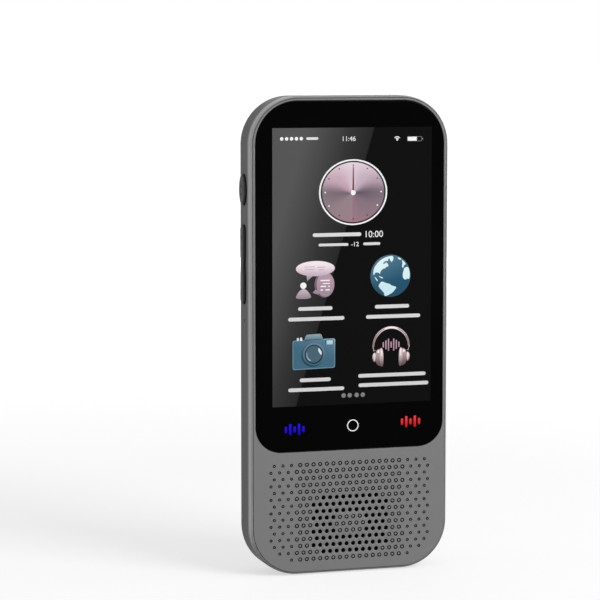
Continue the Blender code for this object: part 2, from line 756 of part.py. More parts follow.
def build_mid_frame(materials):
    outside = [body_ring(inset, depth) for inset, depth in frame_profile()]
    inside = [
        body_ring(WALL, FRAME_DEPTH),
        body_ring(WALL, PLATE_THICKNESS + SEAT_GAP),
        body_ring(LIP_INSET, PLATE_THICKNESS + SEAT_GAP),
    ]
    frame = loft("mid_frame", outside + inside, materials["grey_shell"], closed=True)
    fuse(frame, frame_rails() + speaker_ribs() + usb_posts())
    for side, centre_z, outline, _ in KEYS.values():
        cut(frame, [key_slot(outline(SIDE_GAP), side, centre_z)])
    cut(frame, [key_slot(rocker_outline(SIDE_GAP), LEFT, ROCKER_HEIGHT_UP)])
    for side, centre_z in MICROPHONES.values():
        cut(frame, [key_slot(circle(MIC_HOLE_RADIUS, SMALL_SIDES), side, centre_z)])
    mouth = pill(USB_THICKNESS + 2 * SIDE_GAP, USB_WIDTH + 2 * SIDE_GAP)
    mouth = [(up, -across) for across, up in mouth]
    cut(
        frame,
        [
            loft(
                "mouth",
                [
                    facing_foot(mouth, -OVERRUN, 0.0, USB_CENTRE_DEPTH),
                    facing_foot(mouth, WALL + OVERRUN, 0.0, USB_CENTRE_DEPTH),
                ],
            )
        ],
    )
    for side in (LEFT, RIGHT):
        front = LOWER_BOARD_BACK + SEAT_GAP - SCREW_LENGTH - SIDE_GAP
        back = LOWER_BOARD_BACK
        cut(frame, [screw_hole(side * USB_POST_SPAN, usb_post_height(), front, back)])
    return frame


# Front plate with its grille

def plate_outline():
    return rounded_rect(
        BODY_WIDTH - 2 * PLATE_INSET, BODY_HEIGHT - 2 * PLATE_INSET, BODY_CORNER - PLATE_INSET
    )


def glass_outline(grow=0.0):
    return rounded_rect(
        BODY_WIDTH - 2 * (GLASS_SIDE_INSET - grow),
        GLASS_HEIGHT + 2 * grow,
        BODY_CORNER - GLASS_SIDE_INSET + grow,
        GLASS_FOOT_CORNER + grow,
    )


def glass_middle():
    return (GLASS_TOP + GLASS_BOTTOM) / 2


def panel_middle():
    return (PANEL_TOP + PANEL_BOTTOM) / 2


def inside_body(x, z, margin):
    """Whether a point keeps the margin from the body's outline."""
    over_x = max(abs(x) - (HALF_WIDTH - BODY_CORNER), 0)
    over_z = max(abs(z - HALF_HEIGHT) - (HALF_HEIGHT - BODY_CORNER), 0)
    return math.hypot(over_x, over_z) <= BODY_CORNER - margin


def is_open_hole(x, z):
    """The open holes fill a field with cut corners in front of the speaker, apart from its core."""
    up = abs(z - SOUND_CENTRE_HEIGHT)
    across = abs(x)
    in_field = across < SOUND_FIELD_WIDTH / 2 and up < SOUND_FIELD_HEIGHT / 2
    beyond_x = across - (SOUND_FIELD_WIDTH / 2 - SOUND_FIELD_CORNER)
    beyond_z = up - (SOUND_FIELD_HEIGHT / 2 - SOUND_FIELD_CORNER)
    in_corner = beyond_x > 0 and beyond_z > 0
    in_core = across < SOUND_CORE_WIDTH / 2 and up < SOUND_CORE_HEIGHT / 2
    return in_field and not in_corner and not in_core


def grille_columns(row):
    """(x, radius) pairs of one row. Even rows sit half a pitch off the middle."""
    start = HOLE_PITCH / 2 if row % 2 == 0 else 0.0
    count = INNER_HOLES_EACH_SIDE + row % 2
    half = [(start + HOLE_PITCH * index, HOLE_RADIUS) for index in range(count)]
    last = half[-1][0]
    half += [
        (last + EDGE_HOLE_PITCH * index, EDGE_HOLE_RADIUS)
        for index in range(1, EDGE_HOLE_COLUMNS + 1)
    ]
    return half + [(-x, radius) for x, radius in half if x > 0]


def grille_holes():
    for row in range(ROW_COUNT):
        z = TOP_ROW - ROW_PITCH * row
        for x, radius in grille_columns(row):
            if inside_body(x, z, GRILLE_MARGIN):
                yield x, z, radius


def open_hole_cutter(x, z, radius):
    outline = circle(radius, GRILLE_SIDES)
    return (
        facing_front(outline, -OVERRUN, x, z),
        facing_front(outline, PLATE_THICKNESS + OVERRUN, x, z),
    )


def dimple_cutter(x, z, radius):
    """A cone whose tip lies at the dimple's floor, wide enough to leave the plate cleanly."""
    spread = radius * (DIMPLE_DEPTH + DIMPLE_OVERRUN) / DIMPLE_DEPTH
    outline = circle(spread, GRILLE_SIDES)
    return (
        facing_front(outline, -DIMPLE_OVERRUN, x, z),
        facing_front([(0.0, 0.0)], DIMPLE_DEPTH, x, z),
    )


def grille_cutter():
    cutters = [
        open_hole_cutter(x, z, radius) if is_open_hole(x, z) else dimple_cutter(x, z, radius)
        for x, z, radius in grille_holes()
    ]
    return joined_cutter("grille_cutter", cutters)


def build_front_plate(materials):
    front = plate(
        "front_plate",
        plate_outline(),
        0.0,
        PLATE_THICKNESS,
        materials["grey_shell"],
        centre_z=HALF_HEIGHT,
        edge=PLATE_EDGE,
    )
    recess = plate(
        "recess", glass_outline(GLASS_GAP), -OVERRUN, RECESS_DEPTH, centre_z=glass_middle()
    )
    window = plate(
        "window",
        panel_outline(PANEL_GAP),
        -OVERRUN,
        PLATE_THICKNESS + OVERRUN,
        centre_x=PANEL_OFFSET,
        centre_z=panel_middle(),
    )
    return cut(front, [recess, window, grille_cutter()])


# Glass and display

def panel_outline(grow=0.0):
    return rounded_rect(
        PANEL_WIDTH + 2 * grow, PANEL_HEIGHT + 2 * grow, PANEL_CORNER + grow, steps=SMALL_STEPS
    )


def build_cover_glass(materials):
    return plate(
        "cover_glass",
        glass_outline(),
        0.0,
        GLASS_THICKNESS,
        materials["black_glass"],
        centre_z=glass_middle(),
        edge=GLASS_EDGE,
    )


def build_glass_adhesive(materials):
    front = GLASS_THICKNESS + SEAT_GAP / 2
    back = RECESS_DEPTH - SEAT_GAP / 2
    ring = plate(
        "glass_adhesive", glass_outline(), front, back, materials["adhesive"], centre_z=glass_middle()
    )
    opening = plate(
        "opening",
        panel_outline(PANEL_GAP),
        front - OVERRUN,
        back + OVERRUN,
        centre_x=PANEL_OFFSET,
        centre_z=panel_middle(),
    )
    return cut(ring, [opening])


def build_display_panel(materials):
    return plate(
        "display_panel",
        panel_outline(),
        PANEL_FRONT,
        PANEL_BACK,
        materials["display"],
        PANEL_OFFSET,
        panel_middle(),
    )


def strip(name, route, width, material, centre_x=0.0):
    """A flat cable along a route of (depth, z) points, given a thickness towards its left."""
    sides = ([], [])
    for index, point in enumerate(route):
        before = Vector(route[max(index - 1, 0)])
        after = Vector(route[min(index + 1, len(route) - 1)])
        here = Vector(point)
        incoming = (here - before).normalized() if index > 0 else (after - here).normalized()
        outgoing = (after - here).normalized() if index < len(route) - 1 else incoming
        along = (incoming + outgoing).normalized()
        normal = Vector((-along.y, along.x))
        reach = FLEX_THICKNESS / 2 / max(along.dot(incoming), SHARPEST_FOLD_SHARE)
        sides[0].append(here + normal * reach)
        sides[1].append(here - normal * reach)
    outline = sides[0] + sides[1][::-1]
    rings = [
        [Vector((centre_x + half * width / 2, FRONT_Y + point.x, point.y)) for point in outline]
        for half in (-1, 1)
    ]
    return loft(name, rings, material)


def build_display_flex(materials):
    start_depth = PANEL_BACK + SEAT_GAP + FLEX_THICKNESS / 2
    start_z = CHASSIS_BOTTOM - SIDE_GAP
    turn_z = PANEL_BOTTOM - FLEX_SLOPE / 4
    landing = LOWER_BOARD_FRONT - SEAT_GAP - FLEX_THICKNESS / 2
    route = [
        (start_depth, start_z),
        (start_depth, turn_z),
        (start_depth + FLEX_SLOPE, turn_z - FLEX_SLOPE / 2),
        (landing - FLEX_SLOPE / 2, turn_z - FLEX_SLOPE / 2),
        (landing, turn_z - FLEX_SLOPE),
        (landing, LOWER_BOARD_TOP - FLEX_LANDING),
    ]
    return strip("display_flex", route, DISPLAY_FLEX_WIDTH, materials["flex"], PANEL_OFFSET)


# Chassis plate, boards and what they carry

def post_places():
    half = BOARD_HALF - POST_INSET
    return [
        (side * half, z)
        for z in (BOARD_BOTTOM + POST_INSET, BOARD_TOP - POST_INSET)
        for side in (LEFT, RIGHT)
    ]


def build_chassis_plate(materials):
    inset = HALF_WIDTH - CHASSIS_HALF
    top = BODY_HEIGHT - inset
    outline = rounded_rect(
        2 * CHASSIS_HALF, top - CHASSIS_BOTTOM, BODY_CORNER - inset, CHASSIS_FOOT_CORNER
    )
    chassis = plate(
        "chassis_plate",
        outline,
        CHASSIS_FRONT,
        CHASSIS_BACK,
        materials["steel"],
        centre_z=(top + CHASSIS_BOTTOM) / 2,
    )
    for x, z in post_places():
        post = turned(
            "post",
            [(POST_RADIUS, CHASSIS_BACK - CHASSIS_THICKNESS / 2), (POST_RADIUS, POST_BACK)],
            SMALL_SIDES,
            x,
            z,
        )
        fuse(chassis, [post])
        hole_front = BOARD_BACK + SEAT_GAP - SCREW_LENGTH - SIDE_GAP
        cut(chassis, [screw_hole(x, z, hole_front, POST_BACK + OVERRUN)])
    return chassis


def build_main_board(materials):
    board = plate(
        "main_board",
        rounded_rect(
            2 * BOARD_HALF,
            BOARD_TOP - BOARD_BOTTOM,
            BODY_CORNER - BOARD_INSET,
            BOARD_CORNER,
            steps=SMALL_STEPS,
        ),
        BOARD_FRONT,
        BOARD_BACK,
        materials["board"],
        centre_z=(BOARD_TOP + BOARD_BOTTOM) / 2,
    )
    for x, z in post_places():
        cut(board, [screw_hole(x, z, BOARD_FRONT - OVERRUN, BOARD_BACK + OVERRUN)])
    return board


def build_screw(name, x, z, seat, materials):
    """A pan head screw that is driven from the back, its head on the seat depth."""
    profile = [
        (SCREW_HEAD_RADIUS, seat + SCREW_HEAD_HEIGHT),
        (SCREW_HEAD_RADIUS, seat),
        (SCREW_RADIUS, seat),
        (SCREW_RADIUS, seat - SCREW_LENGTH),
    ]
    return turned(name, profile, SMALL_SIDES, x, z, materials["steel"])


def build_board_screws(materials):
    return [
        build_screw(f"board_screw_{index}", x, z, BOARD_BACK + SEAT_GAP, materials)
        for index, (x, z) in enumerate(post_places(), 1)
    ]


def build_shield_can(materials):
    """A pressed lid over the radio and processor, open towards the board."""
    front = BOARD_BACK + SEAT_GAP
    back = front + CAN_DEPTH
    outer = rounded_rect(CAN_WIDTH, CAN_HEIGHT, BOARD_CORNER, steps=SMALL_STEPS)
    inner = rounded_rect(
        CAN_WIDTH - 2 * CAN_WALL,
        CAN_HEIGHT - 2 * CAN_WALL,
        BOARD_CORNER - CAN_WALL,
        steps=SMALL_STEPS,
    )
    centre_z = CAN_BOTTOM + CAN_HEIGHT / 2
    rings = [
        facing_front(outer, back, 0.0, centre_z),
        facing_front(outer, front, 0.0, centre_z),
        facing_front(inner, front, 0.0, centre_z),
        facing_front(inner, back - CAN_WALL, 0.0, centre_z),
    ]
    return loft("shield_can", rings, materials["steel"])


def build_battery(materials):
    centre_z = (BATTERY_TOP + BATTERY_BOTTOM) / 2
    cell = plate(
        "battery",
        rounded_rect(BATTERY_WIDTH, BATTERY_HEIGHT, BATTERY_CORNER, steps=SMALL_STEPS),
        BATTERY_FRONT,
        BATTERY_BACK,
        materials["battery"],
        centre_z=centre_z,
    )
    top_board = box(
        "battery_protection_board",
        (-PROTECTION_WIDTH / 2, BATTERY_FRONT, BATTERY_TOP + SEAT_GAP),
        (
            PROTECTION_WIDTH / 2,
            BATTERY_FRONT + PROTECTION_THICKNESS,
            BATTERY_TOP + SEAT_GAP + PROTECTION_HEIGHT,
        ),
        materials["board"],
    )
    return [cell, top_board]


def build_main_flex(materials):
    """The cable from the lower board over the battery to the main board."""
    lift = SEAT_GAP + FLEX_THICKNESS / 2
    low_depth = LOWER_BOARD_BACK + lift
    high_depth = max(BATTERY_BACK, LOWER_BOARD_BACK) + lift
    end_depth = BOARD_BACK + lift
    route = [
        (low_depth, LOWER_BOARD_TOP - FLEX_LANDING),
        (low_depth, LOWER_BOARD_TOP),
        (high_depth, BATTERY_BOTTOM - FLEX_SLOPE),
        (high_depth, BATTERY_TOP + FLEX_SLOPE / 2),
        (end_depth, CAN_BOTTOM - FLEX_LANDING),
        (end_depth, CAN_BOTTOM - FLEX_LANDING / 2),
    ]
    offset = -(CAN_WIDTH - MAIN_FLEX_WIDTH) / 4
    return strip("main_flex", route, MAIN_FLEX_WIDTH, materials["flex"], offset)


# Lower board and the charging socket

def usb_outline(shrink_by=0.0):
    outline = pill(USB_THICKNESS - 2 * shrink_by, USB_WIDTH - 2 * shrink_by)
    return [(up, -across) for across, up in outline]


def build_usb_socket(materials):
    """A drawn steel shell, closed at its inner end, and the tongue inside it."""
    foot = USB_RECESS
    top = USB_RECESS + USB_LENGTH
    rings = [
        facing_foot(usb_outline(), top, 0.0, USB_CENTRE_DEPTH),
        facing_foot(usb_outline(), foot, 0.0, USB_CENTRE_DEPTH),
        facing_foot(usb_outline(USB_WALL), foot, 0.0, USB_CENTRE_DEPTH),
        facing_foot(usb_outline(USB_WALL), top - USB_WALL, 0.0, USB_CENTRE_DEPTH),
    ]
    shell = loft("usb_shell", rings, materials["steel"])
    tongue = box(
        "usb_tongue",
        (-TONGUE_WIDTH / 2, USB_CENTRE_DEPTH - TONGUE_THICKNESS / 2, foot + TONGUE_RECESS),
        (TONGUE_WIDTH / 2, USB_CENTRE_DEPTH + TONGUE_THICKNESS / 2, top - USB_WALL - SEAT_GAP),
        materials["black_plastic"],
    )
    return [shell, tongue]


def build_lower_board(materials):
    board = box(
        "lower_board",
        (-LOWER_BOARD_WIDTH / 2, LOWER_BOARD_FRONT, WALL + SIDE_GAP),
        (LOWER_BOARD_WIDTH / 2, LOWER_BOARD_BACK, LOWER_BOARD_TOP),
        materials["board"],
    )
    screws = []
    for side, word in ((LEFT, "left"), (RIGHT, "right")):
        x = side * USB_POST_SPAN
        z = usb_post_height()
        cut(board, [screw_hole(x, z, LOWER_BOARD_FRONT - OVERRUN, LOWER_BOARD_BACK + OVERRUN)])
        seat = LOWER_BOARD_BACK + SEAT_GAP
        screws.append(build_screw(f"lower_screw_{word}", x, z, seat, materials))
    return [board, *screws]


# Speaker

def speaker_outline(inset=0.0):
    return rounded_rect(
        SPEAKER_WIDTH - 2 * inset,
        SPEAKER_HEIGHT - 2 * inset,
        SPEAKER_CORNER - inset,
        steps=SPEAKER_STEPS,
    )


def speaker_ring(inset, depth):
    return facing_front(speaker_outline(inset), depth, 0.0, SOUND_CENTRE_HEIGHT)


def build_speaker(materials):
    mesh = loft(
        "speaker_mesh",
        [speaker_ring(0.0, MESH_FRONT), speaker_ring(0.0, MESH_FRONT + MESH_THICKNESS)],
        materials["cloth"],
    )
    gasket = loft(
        "speaker_gasket",
        [
            speaker_ring(0.0, GASKET_FRONT),
            speaker_ring(0.0, GASKET_FRONT + GASKET_THICKNESS),
            speaker_ring(SPEAKER_WALL, GASKET_FRONT + GASKET_THICKNESS),
            speaker_ring(SPEAKER_WALL, GASKET_FRONT),
        ],
        materials["rubber"],
        closed=True,
    )
    basket = loft(
        "speaker_basket",
        [
            speaker_ring(0.0, BASKET_BACK),
            speaker_ring(0.0, BASKET_FRONT),
            speaker_ring(SPEAKER_WALL, BASKET_FRONT),
            speaker_ring(SPEAKER_WALL, BASKET_BACK - SPEAKER_FLOOR),
        ],
        materials["black_plastic"],
    )
    cone_inset = SPEAKER_WALL + SIDE_GAP
    crown_inset = cone_inset + CONE_RISE
    centre_inset = crown_inset + 2 * CONE_RISE
    rim = BASKET_FRONT + CONE_RISE
    cone = loft(
        "speaker_cone",
        [
            speaker_ring(centre_inset, rim + CONE_THICKNESS),
            speaker_ring(crown_inset, BASKET_FRONT + CONE_THICKNESS),
            speaker_ring(cone_inset, rim + CONE_THICKNESS),
            speaker_ring(cone_inset, rim),
            speaker_ring(crown_inset, BASKET_FRONT),
            speaker_ring(centre_inset, rim),
        ],
        materials["cloth"],
    )
    magnet_back = BASKET_BACK - SPEAKER_FLOOR - SEAT_GAP
    magnet_front = rim + CONE_THICKNESS + CONE_STROKE
    magnet = turned(
        "speaker_magnet",
        [(MAGNET_RADIUS, magnet_back), (MAGNET_RADIUS, magnet_front)],
        TURNED_SIDES // 2,
        0.0,
        SOUND_CENTRE_HEIGHT,
        materials["steel"],
    )
    return [mesh, gasket, basket, cone, magnet]


# Back cover and camera

def dome_rings(inset, depth_front, depth_back, steps):
    """Rings that curve from the edge to the flat middle, as a quarter ellipse."""
    rings = []
    for step in range(steps + 1):
        angle = math.pi / 2 * step / steps
        drawn_in = inset + COVER_DOME_IN * (1 - math.cos(angle))
        rings.append(body_ring(drawn_in, depth_front + (depth_back - depth_front) * math.sin(angle)))
    return rings


def build_back_cover(materials):
    edge_front = COVER_FRONT + COVER_CHAMFER
    outer = dome_rings(COVER_EDGE_INSET, edge_front, BODY_DEPTH, COVER_DOME_STEPS)
    skirt_inset = WALL + SIDE_GAP
    inner_inset = skirt_inset + SKIRT_THICKNESS
    inner = dome_rings(inner_inset, COVER_FRONT, COVER_INNER, COVER_INNER_STEPS)
    edge = [
        body_ring(COVER_EDGE_INSET + COVER_CHAMFER, COVER_FRONT),
        body_ring(skirt_inset, COVER_FRONT),
        body_ring(skirt_inset, SKIRT_FRONT),
        body_ring(inner_inset, SKIRT_FRONT),
    ]
    cover = loft("back_cover", outer[::-1] + edge + inner, materials["grey_shell"])
    seat = turned(
        "seat",
        [
            (RING_RADIUS + SEAT_GAP, BODY_DEPTH + OVERRUN),
            (RING_RADIUS + SEAT_GAP, BODY_DEPTH - RING_SEAT_DEPTH),
        ],
        TURNED_SIDES,
        0.0,
        CAMERA_UP,
    )
    bore = turned(
        "bore",
        [(COVER_BORE, BODY_DEPTH + OVERRUN), (COVER_BORE, COVER_INNER - OVERRUN)],
        TURNED_SIDES,
        0.0,
        CAMERA_UP,
    )
    return cut(cover, [seat, bore])


def build_camera(materials):
    seat = BODY_DEPTH - RING_SEAT_DEPTH + SEAT_GAP
    top = BODY_DEPTH + RING_PROUD
    ring = turned(
        "camera_trim_ring",
        [
            (RING_RADIUS, seat),
            (RING_RADIUS, top - RING_EDGE),
            (RING_RADIUS - RING_EDGE, top),
            (RING_BORE, top - RING_DISH),
            (RING_BORE, seat),
        ],
        TURNED_SIDES,
        0.0,
        CAMERA_UP,
        materials["dark_metal"],
        closed=True,
    )
    window_back = top - WINDOW_RECESS
    window_front = window_back - WINDOW_THICKNESS
    window_radius = RING_BORE - SEAT_GAP
    window = turned(
        "camera_window",
        [(window_radius, window_back), (window_radius, window_front)],
        TURNED_SIDES,
        0.0,
        CAMERA_UP,
        materials["clear_glass"],
    )
    module_front = BOARD_BACK + SEAT_GAP
    module_back = module_front + MODULE_DEPTH
    module = box(
        "camera_module",
        (-MODULE_SIZE / 2, module_front, CAMERA_UP - MODULE_SIZE / 2),
        (MODULE_SIZE / 2, module_back, CAMERA_UP + MODULE_SIZE / 2),
        materials["black_plastic"],
    )
    barrel_front = module_back + SEAT_GAP
    barrel_back = seat - SEAT_GAP
    barrel = turned(
        "camera_barrel",
        [
            (BARREL_RADIUS, barrel_front),
            (BARREL_RADIUS, barrel_back),
            (LENS_MOUTH_RADIUS, barrel_back),
            (LENS_SEAT_RADIUS, barrel_back - LENS_SEAT_DEPTH),
        ],
        TURNED_SIDES // 2,
        0.0,
        CAMERA_UP,
        materials["black_plastic"],
    )
    lens_front = barrel_back - LENS_SEAT_DEPTH + SEAT_GAP
    lens = turned(
        "camera_lens",
        [
            (LENS_RADIUS, lens_front),
            (LENS_RADIUS, lens_front + SEAT_GAP),
            (LENS_RADIUS * math.cos(math.pi / 6), lens_front + SEAT_GAP + LENS_RISE / 2),
            (LENS_RADIUS / 2, lens_front + SEAT_GAP + LENS_RISE),
        ],
        TURNED_SIDES // 2,
        0.0,
        CAMERA_UP,
        materials["lens"],
    )
    return [ring, window, module, barrel, lens]


def build_antenna(materials):
    back = COVER_INNER - SEAT_GAP
    return box(
        "antenna_strip",
        (-ANTENNA_WIDTH / 2, back - ANTENNA_THICKNESS, ANTENNA_TOP - ANTENNA_HEIGHT),
        (ANTENNA_WIDTH / 2, back, ANTENNA_TOP),
        materials["flex"],
    )


# Side keys, switches and microphones

def cap_rings(outline, side, centre_z):
    """The neck and the raised cap of a key, its outer edge rounded."""
    top = HALF_WIDTH + KEY_PROUD
    midway = KEY_EDGE * (1 - math.cos(math.pi / 4))
    return [
        facing_side(outline(0.0), side * (top - KEY_EDGE), centre_z),
        facing_side(outline(-midway), side * (top - midway), centre_z),
        facing_side(outline(-KEY_EDGE), side * top, centre_z),
    ]


def build_push_key(name, materials):
    side, centre_z, outline, slot = KEYS[name]
    rings = [
        facing_side(outline(FLANGE_REACH), side * FLANGE_INNER, centre_z),
        facing_side(outline(FLANGE_REACH), side * FLANGE_OUTER, centre_z),
        facing_side(outline(0.0), side * FLANGE_OUTER, centre_z),
        *cap_rings(outline, side, centre_z),
    ]
    return loft(name, rings, materials[slot])


def build_volume_rocker(materials):
    """A waisted cap that tips about its middle, with holding tabs near the pivot."""
    inner = facing_side(rocker_outline(), LEFT * FLANGE_INNER, ROCKER_HEIGHT_UP)
    rings = [inner, *cap_rings(rocker_outline, LEFT, ROCKER_HEIGHT_UP)]
    rocker = loft("volume_rocker", rings, materials["key_grey"])
    tab = side_box(
        "tab",
        LEFT,
        FLANGE_INNER,
        FLANGE_OUTER - SEAT_GAP,
        KEY_LINE_DEPTH,
        ROCKER_WIDTH + 2 * FLANGE_REACH,
        ROCKER_HEIGHT_UP,
        ROCKER_TAB_HEIGHT,
    )
    return fuse(rocker, [tab])


def build_switch(name, materials):
    side, centre_z, _ = SWITCHES[name]
    body = side_box(
        f"{name}_switch",
        side,
        SWITCH_BACK,
        SWITCH_FACE,
        KEY_LINE_DEPTH,
        SWITCH_WIDTH,
        centre_z,
        SWITCH_HEIGHT,
        materials["black_plastic"],
    )
    bore = PLUNGER_RADIUS + PLUNGER_GAP
    floor = plunger_inner() - KEY_TRAVEL - SEAT_GAP
    well = side_turned(
        "well", side, [(bore, floor), (bore, SWITCH_FACE + OVERRUN)], SMALL_SIDES, centre_z
    )
    return cut(body, [well])


def plunger_inner():
    return FLANGE_INNER - SEAT_GAP - PLUNGER_LENGTH


def build_plunger(name, materials):
    side, centre_z, _ = SWITCHES[name]
    profile = [
        (PLUNGER_RADIUS, plunger_inner()),
        (PLUNGER_RADIUS, FLANGE_INNER - SEAT_GAP),
    ]
    return side_turned(
        f"{name}_plunger", side, profile, SMALL_SIDES, centre_z, materials["black_plastic"]
    )


def build_key_board(name, side, materials):
    """The board along one side wall, from its lowest to its highest switch or microphone."""
    places = [up for place, up, _ in SWITCHES.values() if place == side]
    places += [up for place, up in MICROPHONES.values() if place == side]
    low = min(places) - SWITCH_HEIGHT / 2 - KEY_BOARD_END
    high = max(places) + SWITCH_HEIGHT / 2 + KEY_BOARD_END
    return side_box(
        name,
        side,
        KEY_BOARD_BACK,
        KEY_BOARD_FACE,
        KEY_LINE_DEPTH,
        KEY_BOARD_WIDTH,
        (low + high) / 2,
        high - low,
        materials["board"],
    )


def build_microphone(word, materials):
    side, centre_z = MICROPHONES[word]
    face = SWITCH_BACK + MIC_BODY_DEPTH
    body = side_box(
        f"microphone_{word}",
        side,
        SWITCH_BACK,
        face,
        KEY_LINE_DEPTH,
        MIC_BODY,
        centre_z,
        MIC_BODY_HEIGHT,
        materials["steel"],
    )
    near, far = face + SEAT_GAP, INNER_HALF - SEAT_GAP
    boot = side_turned(
        f"mic_boot_{word}",
        side,
        [(BOOT_RADIUS, near), (BOOT_RADIUS, far), (MIC_HOLE_RADIUS, far), (MIC_HOLE_RADIUS, near)],
        SMALL_SIDES,
        centre_z,
        materials["rubber"],
        closed=True,
    )
    return [body, boot]


# Assembly

def pivot_empty(name, place):
    pivot = bpy.data.objects.new(name, None)
    pivot.location = place
    bpy.context.scene.collection.objects.link(pivot)
    return pivot


def hang(solid, pivot):
    """Parents a solid to a pivot and moves its origin there, with its shape left in place."""
    for vertex in solid.data.vertices:
        vertex.co -= pivot.location
    solid.parent = pivot


def shade(solid):
    solid.data.shade_smooth()
    solid.data.set_sharp_from_angle(angle=SMOOTH_ANGLE)


def key_pivot(side, centre_z):
    return Vector((side * FLANGE_OUTER, FRONT_Y + KEY_LINE_DEPTH, centre_z))


def build_casing(materials):
    pieces = [
        build_mid_frame(materials),
        build_front_plate(materials),
        build_back_cover(materials),
        build_cover_glass(materials),
        build_glass_adhesive(materials),
        build_display_panel(materials),
        build_display_flex(materials),
        build_chassis_plate(materials),
        build_main_board(materials),
        *build_board_screws(materials),
        build_shield_can(materials),
        *build_battery(materials),
        build_main_flex(materials),
        *build_usb_socket(materials),
        *build_lower_board(materials),
        *build_speaker(materials),
        *build_camera(materials),
        build_antenna(materials),
        build_key_board("key_board_left", LEFT, materials),
        build_key_board("key_board_right", RIGHT, materials),
    ]
    for word in MICROPHONES:
        pieces += build_microphone(word, materials)
    pieces += [build_switch(name, materials) for name in SWITCHES]
    return pieces


def build_moving_keys(materials):
    """Returns each key's pivot place with the solids that move together."""
    groups = {name: [build_push_key(name, materials)] for name in KEYS}
    groups["volume_rocker"] = [build_volume_rocker(materials)]
    places = {name: (side, up) for name, (side, up, _, _) in KEYS.items()}
    places["volume_rocker"] = (LEFT, ROCKER_HEIGHT_UP)
    for name, (_, _, key) in SWITCHES.items():
        groups[key].append(build_plunger(name, materials))
    return {name: (key_pivot(*places[name]), solids) for name, solids in groups.items()}


def clear_scene():
    for item in list(bpy.data.objects):
        bpy.data.objects.remove(item)


def main():
    clear_scene()
    materials = make_materials()
    casing = pivot_empty("casing", (0.0, 0.0, 0.0))
    for solid in build_casing(materials):
        shade(solid)
        hang(solid, casing)
    for name, (place, solids) in build_moving_keys(materials).items():
        pivot = pivot_empty(f"{name}_axis", place)
        for solid in solids:
            shade(solid)
            hang(solid, pivot)


main()
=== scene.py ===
"""Looks of the handheld voice translator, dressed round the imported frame.

Lengths are typed in millimetres and turned into metres by MM. Depths are counted from the front plane.
"""

import json
import math

import bmesh
import bpy
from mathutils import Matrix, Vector


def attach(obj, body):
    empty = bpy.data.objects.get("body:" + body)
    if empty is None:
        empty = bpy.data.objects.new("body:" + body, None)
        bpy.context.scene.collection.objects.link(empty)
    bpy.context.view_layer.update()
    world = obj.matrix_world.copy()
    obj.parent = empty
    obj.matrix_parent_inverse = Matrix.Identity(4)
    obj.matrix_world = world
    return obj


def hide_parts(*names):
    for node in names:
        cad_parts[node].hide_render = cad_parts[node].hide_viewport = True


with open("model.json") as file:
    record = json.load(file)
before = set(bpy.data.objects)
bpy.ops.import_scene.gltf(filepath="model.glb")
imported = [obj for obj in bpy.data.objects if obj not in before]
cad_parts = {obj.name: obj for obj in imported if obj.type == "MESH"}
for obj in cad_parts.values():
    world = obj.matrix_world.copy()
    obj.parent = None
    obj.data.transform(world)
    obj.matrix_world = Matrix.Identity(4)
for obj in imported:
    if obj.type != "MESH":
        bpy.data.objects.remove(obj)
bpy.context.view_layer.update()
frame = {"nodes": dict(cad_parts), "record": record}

MM = 0.001
TAU = math.tau

# The body, as the frame has it
WIDTH, HEIGHT, DEPTH, CORNER = 64.4, 148.8, 15.4, 15.0
FRONT_Y = -7.9
WALL, BAND_DEPTH = 1.6, 11.997
LIP_INSET, LIP_DROP = 0.5, 0.1
FRONT_ROUND = (0.35, 3.6)
REAR_ROUND = (0.5, 1.6)
PLATE_INSET, PLATE_THICK, PLATE_EDGE = 0.75, 2.0, 0.25
GLASS_INSET, GLASS_TOP, GLASS_HIGH, GLASS_FOOT = 1.75, 147.2, 108.4, 8.0
GLASS_GAP, RECESS, GLASS_THICK, GLASS_FACE = 0.25, 1.0, 0.8, 0.05
PANEL = (55.0, 93.74, 0.65, 93.34)
COVER_FRONT, COVER_INNER, COVER_INSET, DOME_IN, SKIRT_FRONT = 12.35, 13.6, 0.45, 8.8, 11.2
SEAM_Y = FRONT_Y + COVER_FRONT
CAMERA_Z, LENS_RADIUS, SEAT_RADIUS = 130.0, 2.3, 7.5
LEFT, RIGHT = -1, 1
KEY_LINE, KEY_PROUD, KEY_ROUND, CLEARANCE = 7.2, 0.9, 0.45, 0.2
FLANGE_INNER, FLANGE_OUTER, FLANGE_REACH = 29.8, 30.5, 0.7
POWER_Z, VOLUME_Z, FUNCTION_Z, BLUE_Z, RED_Z = 120.0, 96.9, 121.2, 104.1, 89.8
USB_CENTRE, USB_SIZE = 8.13, (8.94, 3.26)

# Steps of the round shapes, and the angle in degrees from which an edge is drawn sharp
CORNER_STEPS, SMALL_STEPS, ROUND_STEPS, SHARP_ANGLE = 22, 8, 10, 38


# Outlines, as lists of (across, up) points

def arc(cx, cz, radius, start, end, steps):
    return [
        (cx + radius * math.cos(start + (end - start) * i / steps),
         cz + radius * math.sin(start + (end - start) * i / steps))
        for i in range(steps + 1)
    ]


def rounded(width, height, corner, foot=None, steps=CORNER_STEPS, cx=0.0, cz=0.0):
    foot = corner if foot is None else foot
    half_w, half_h = width / 2, height / 2
    spots = (
        (half_w - corner, half_h - corner, corner),
        (corner - half_w, half_h - corner, corner),
        (foot - half_w, foot - half_h, foot),
        (half_w - foot, foot - half_h, foot),
    )
    points = []
    for turn, (x, z, radius) in enumerate(spots):
        points += arc(cx + x, cz + z, radius, TAU / 4 * turn, TAU / 4 * (turn + 1), steps)
    return points


def oval(width, height, sides=48, cx=0.0, cz=0.0):
    return [
        (cx + width / 2 * math.cos(TAU * i / sides), cz + height / 2 * math.sin(TAU * i / sides))
        for i in range(sides)
    ]


def disc(cx, cz, radius, sides=32):
    return oval(2 * radius, 2 * radius, sides, cx, cz)


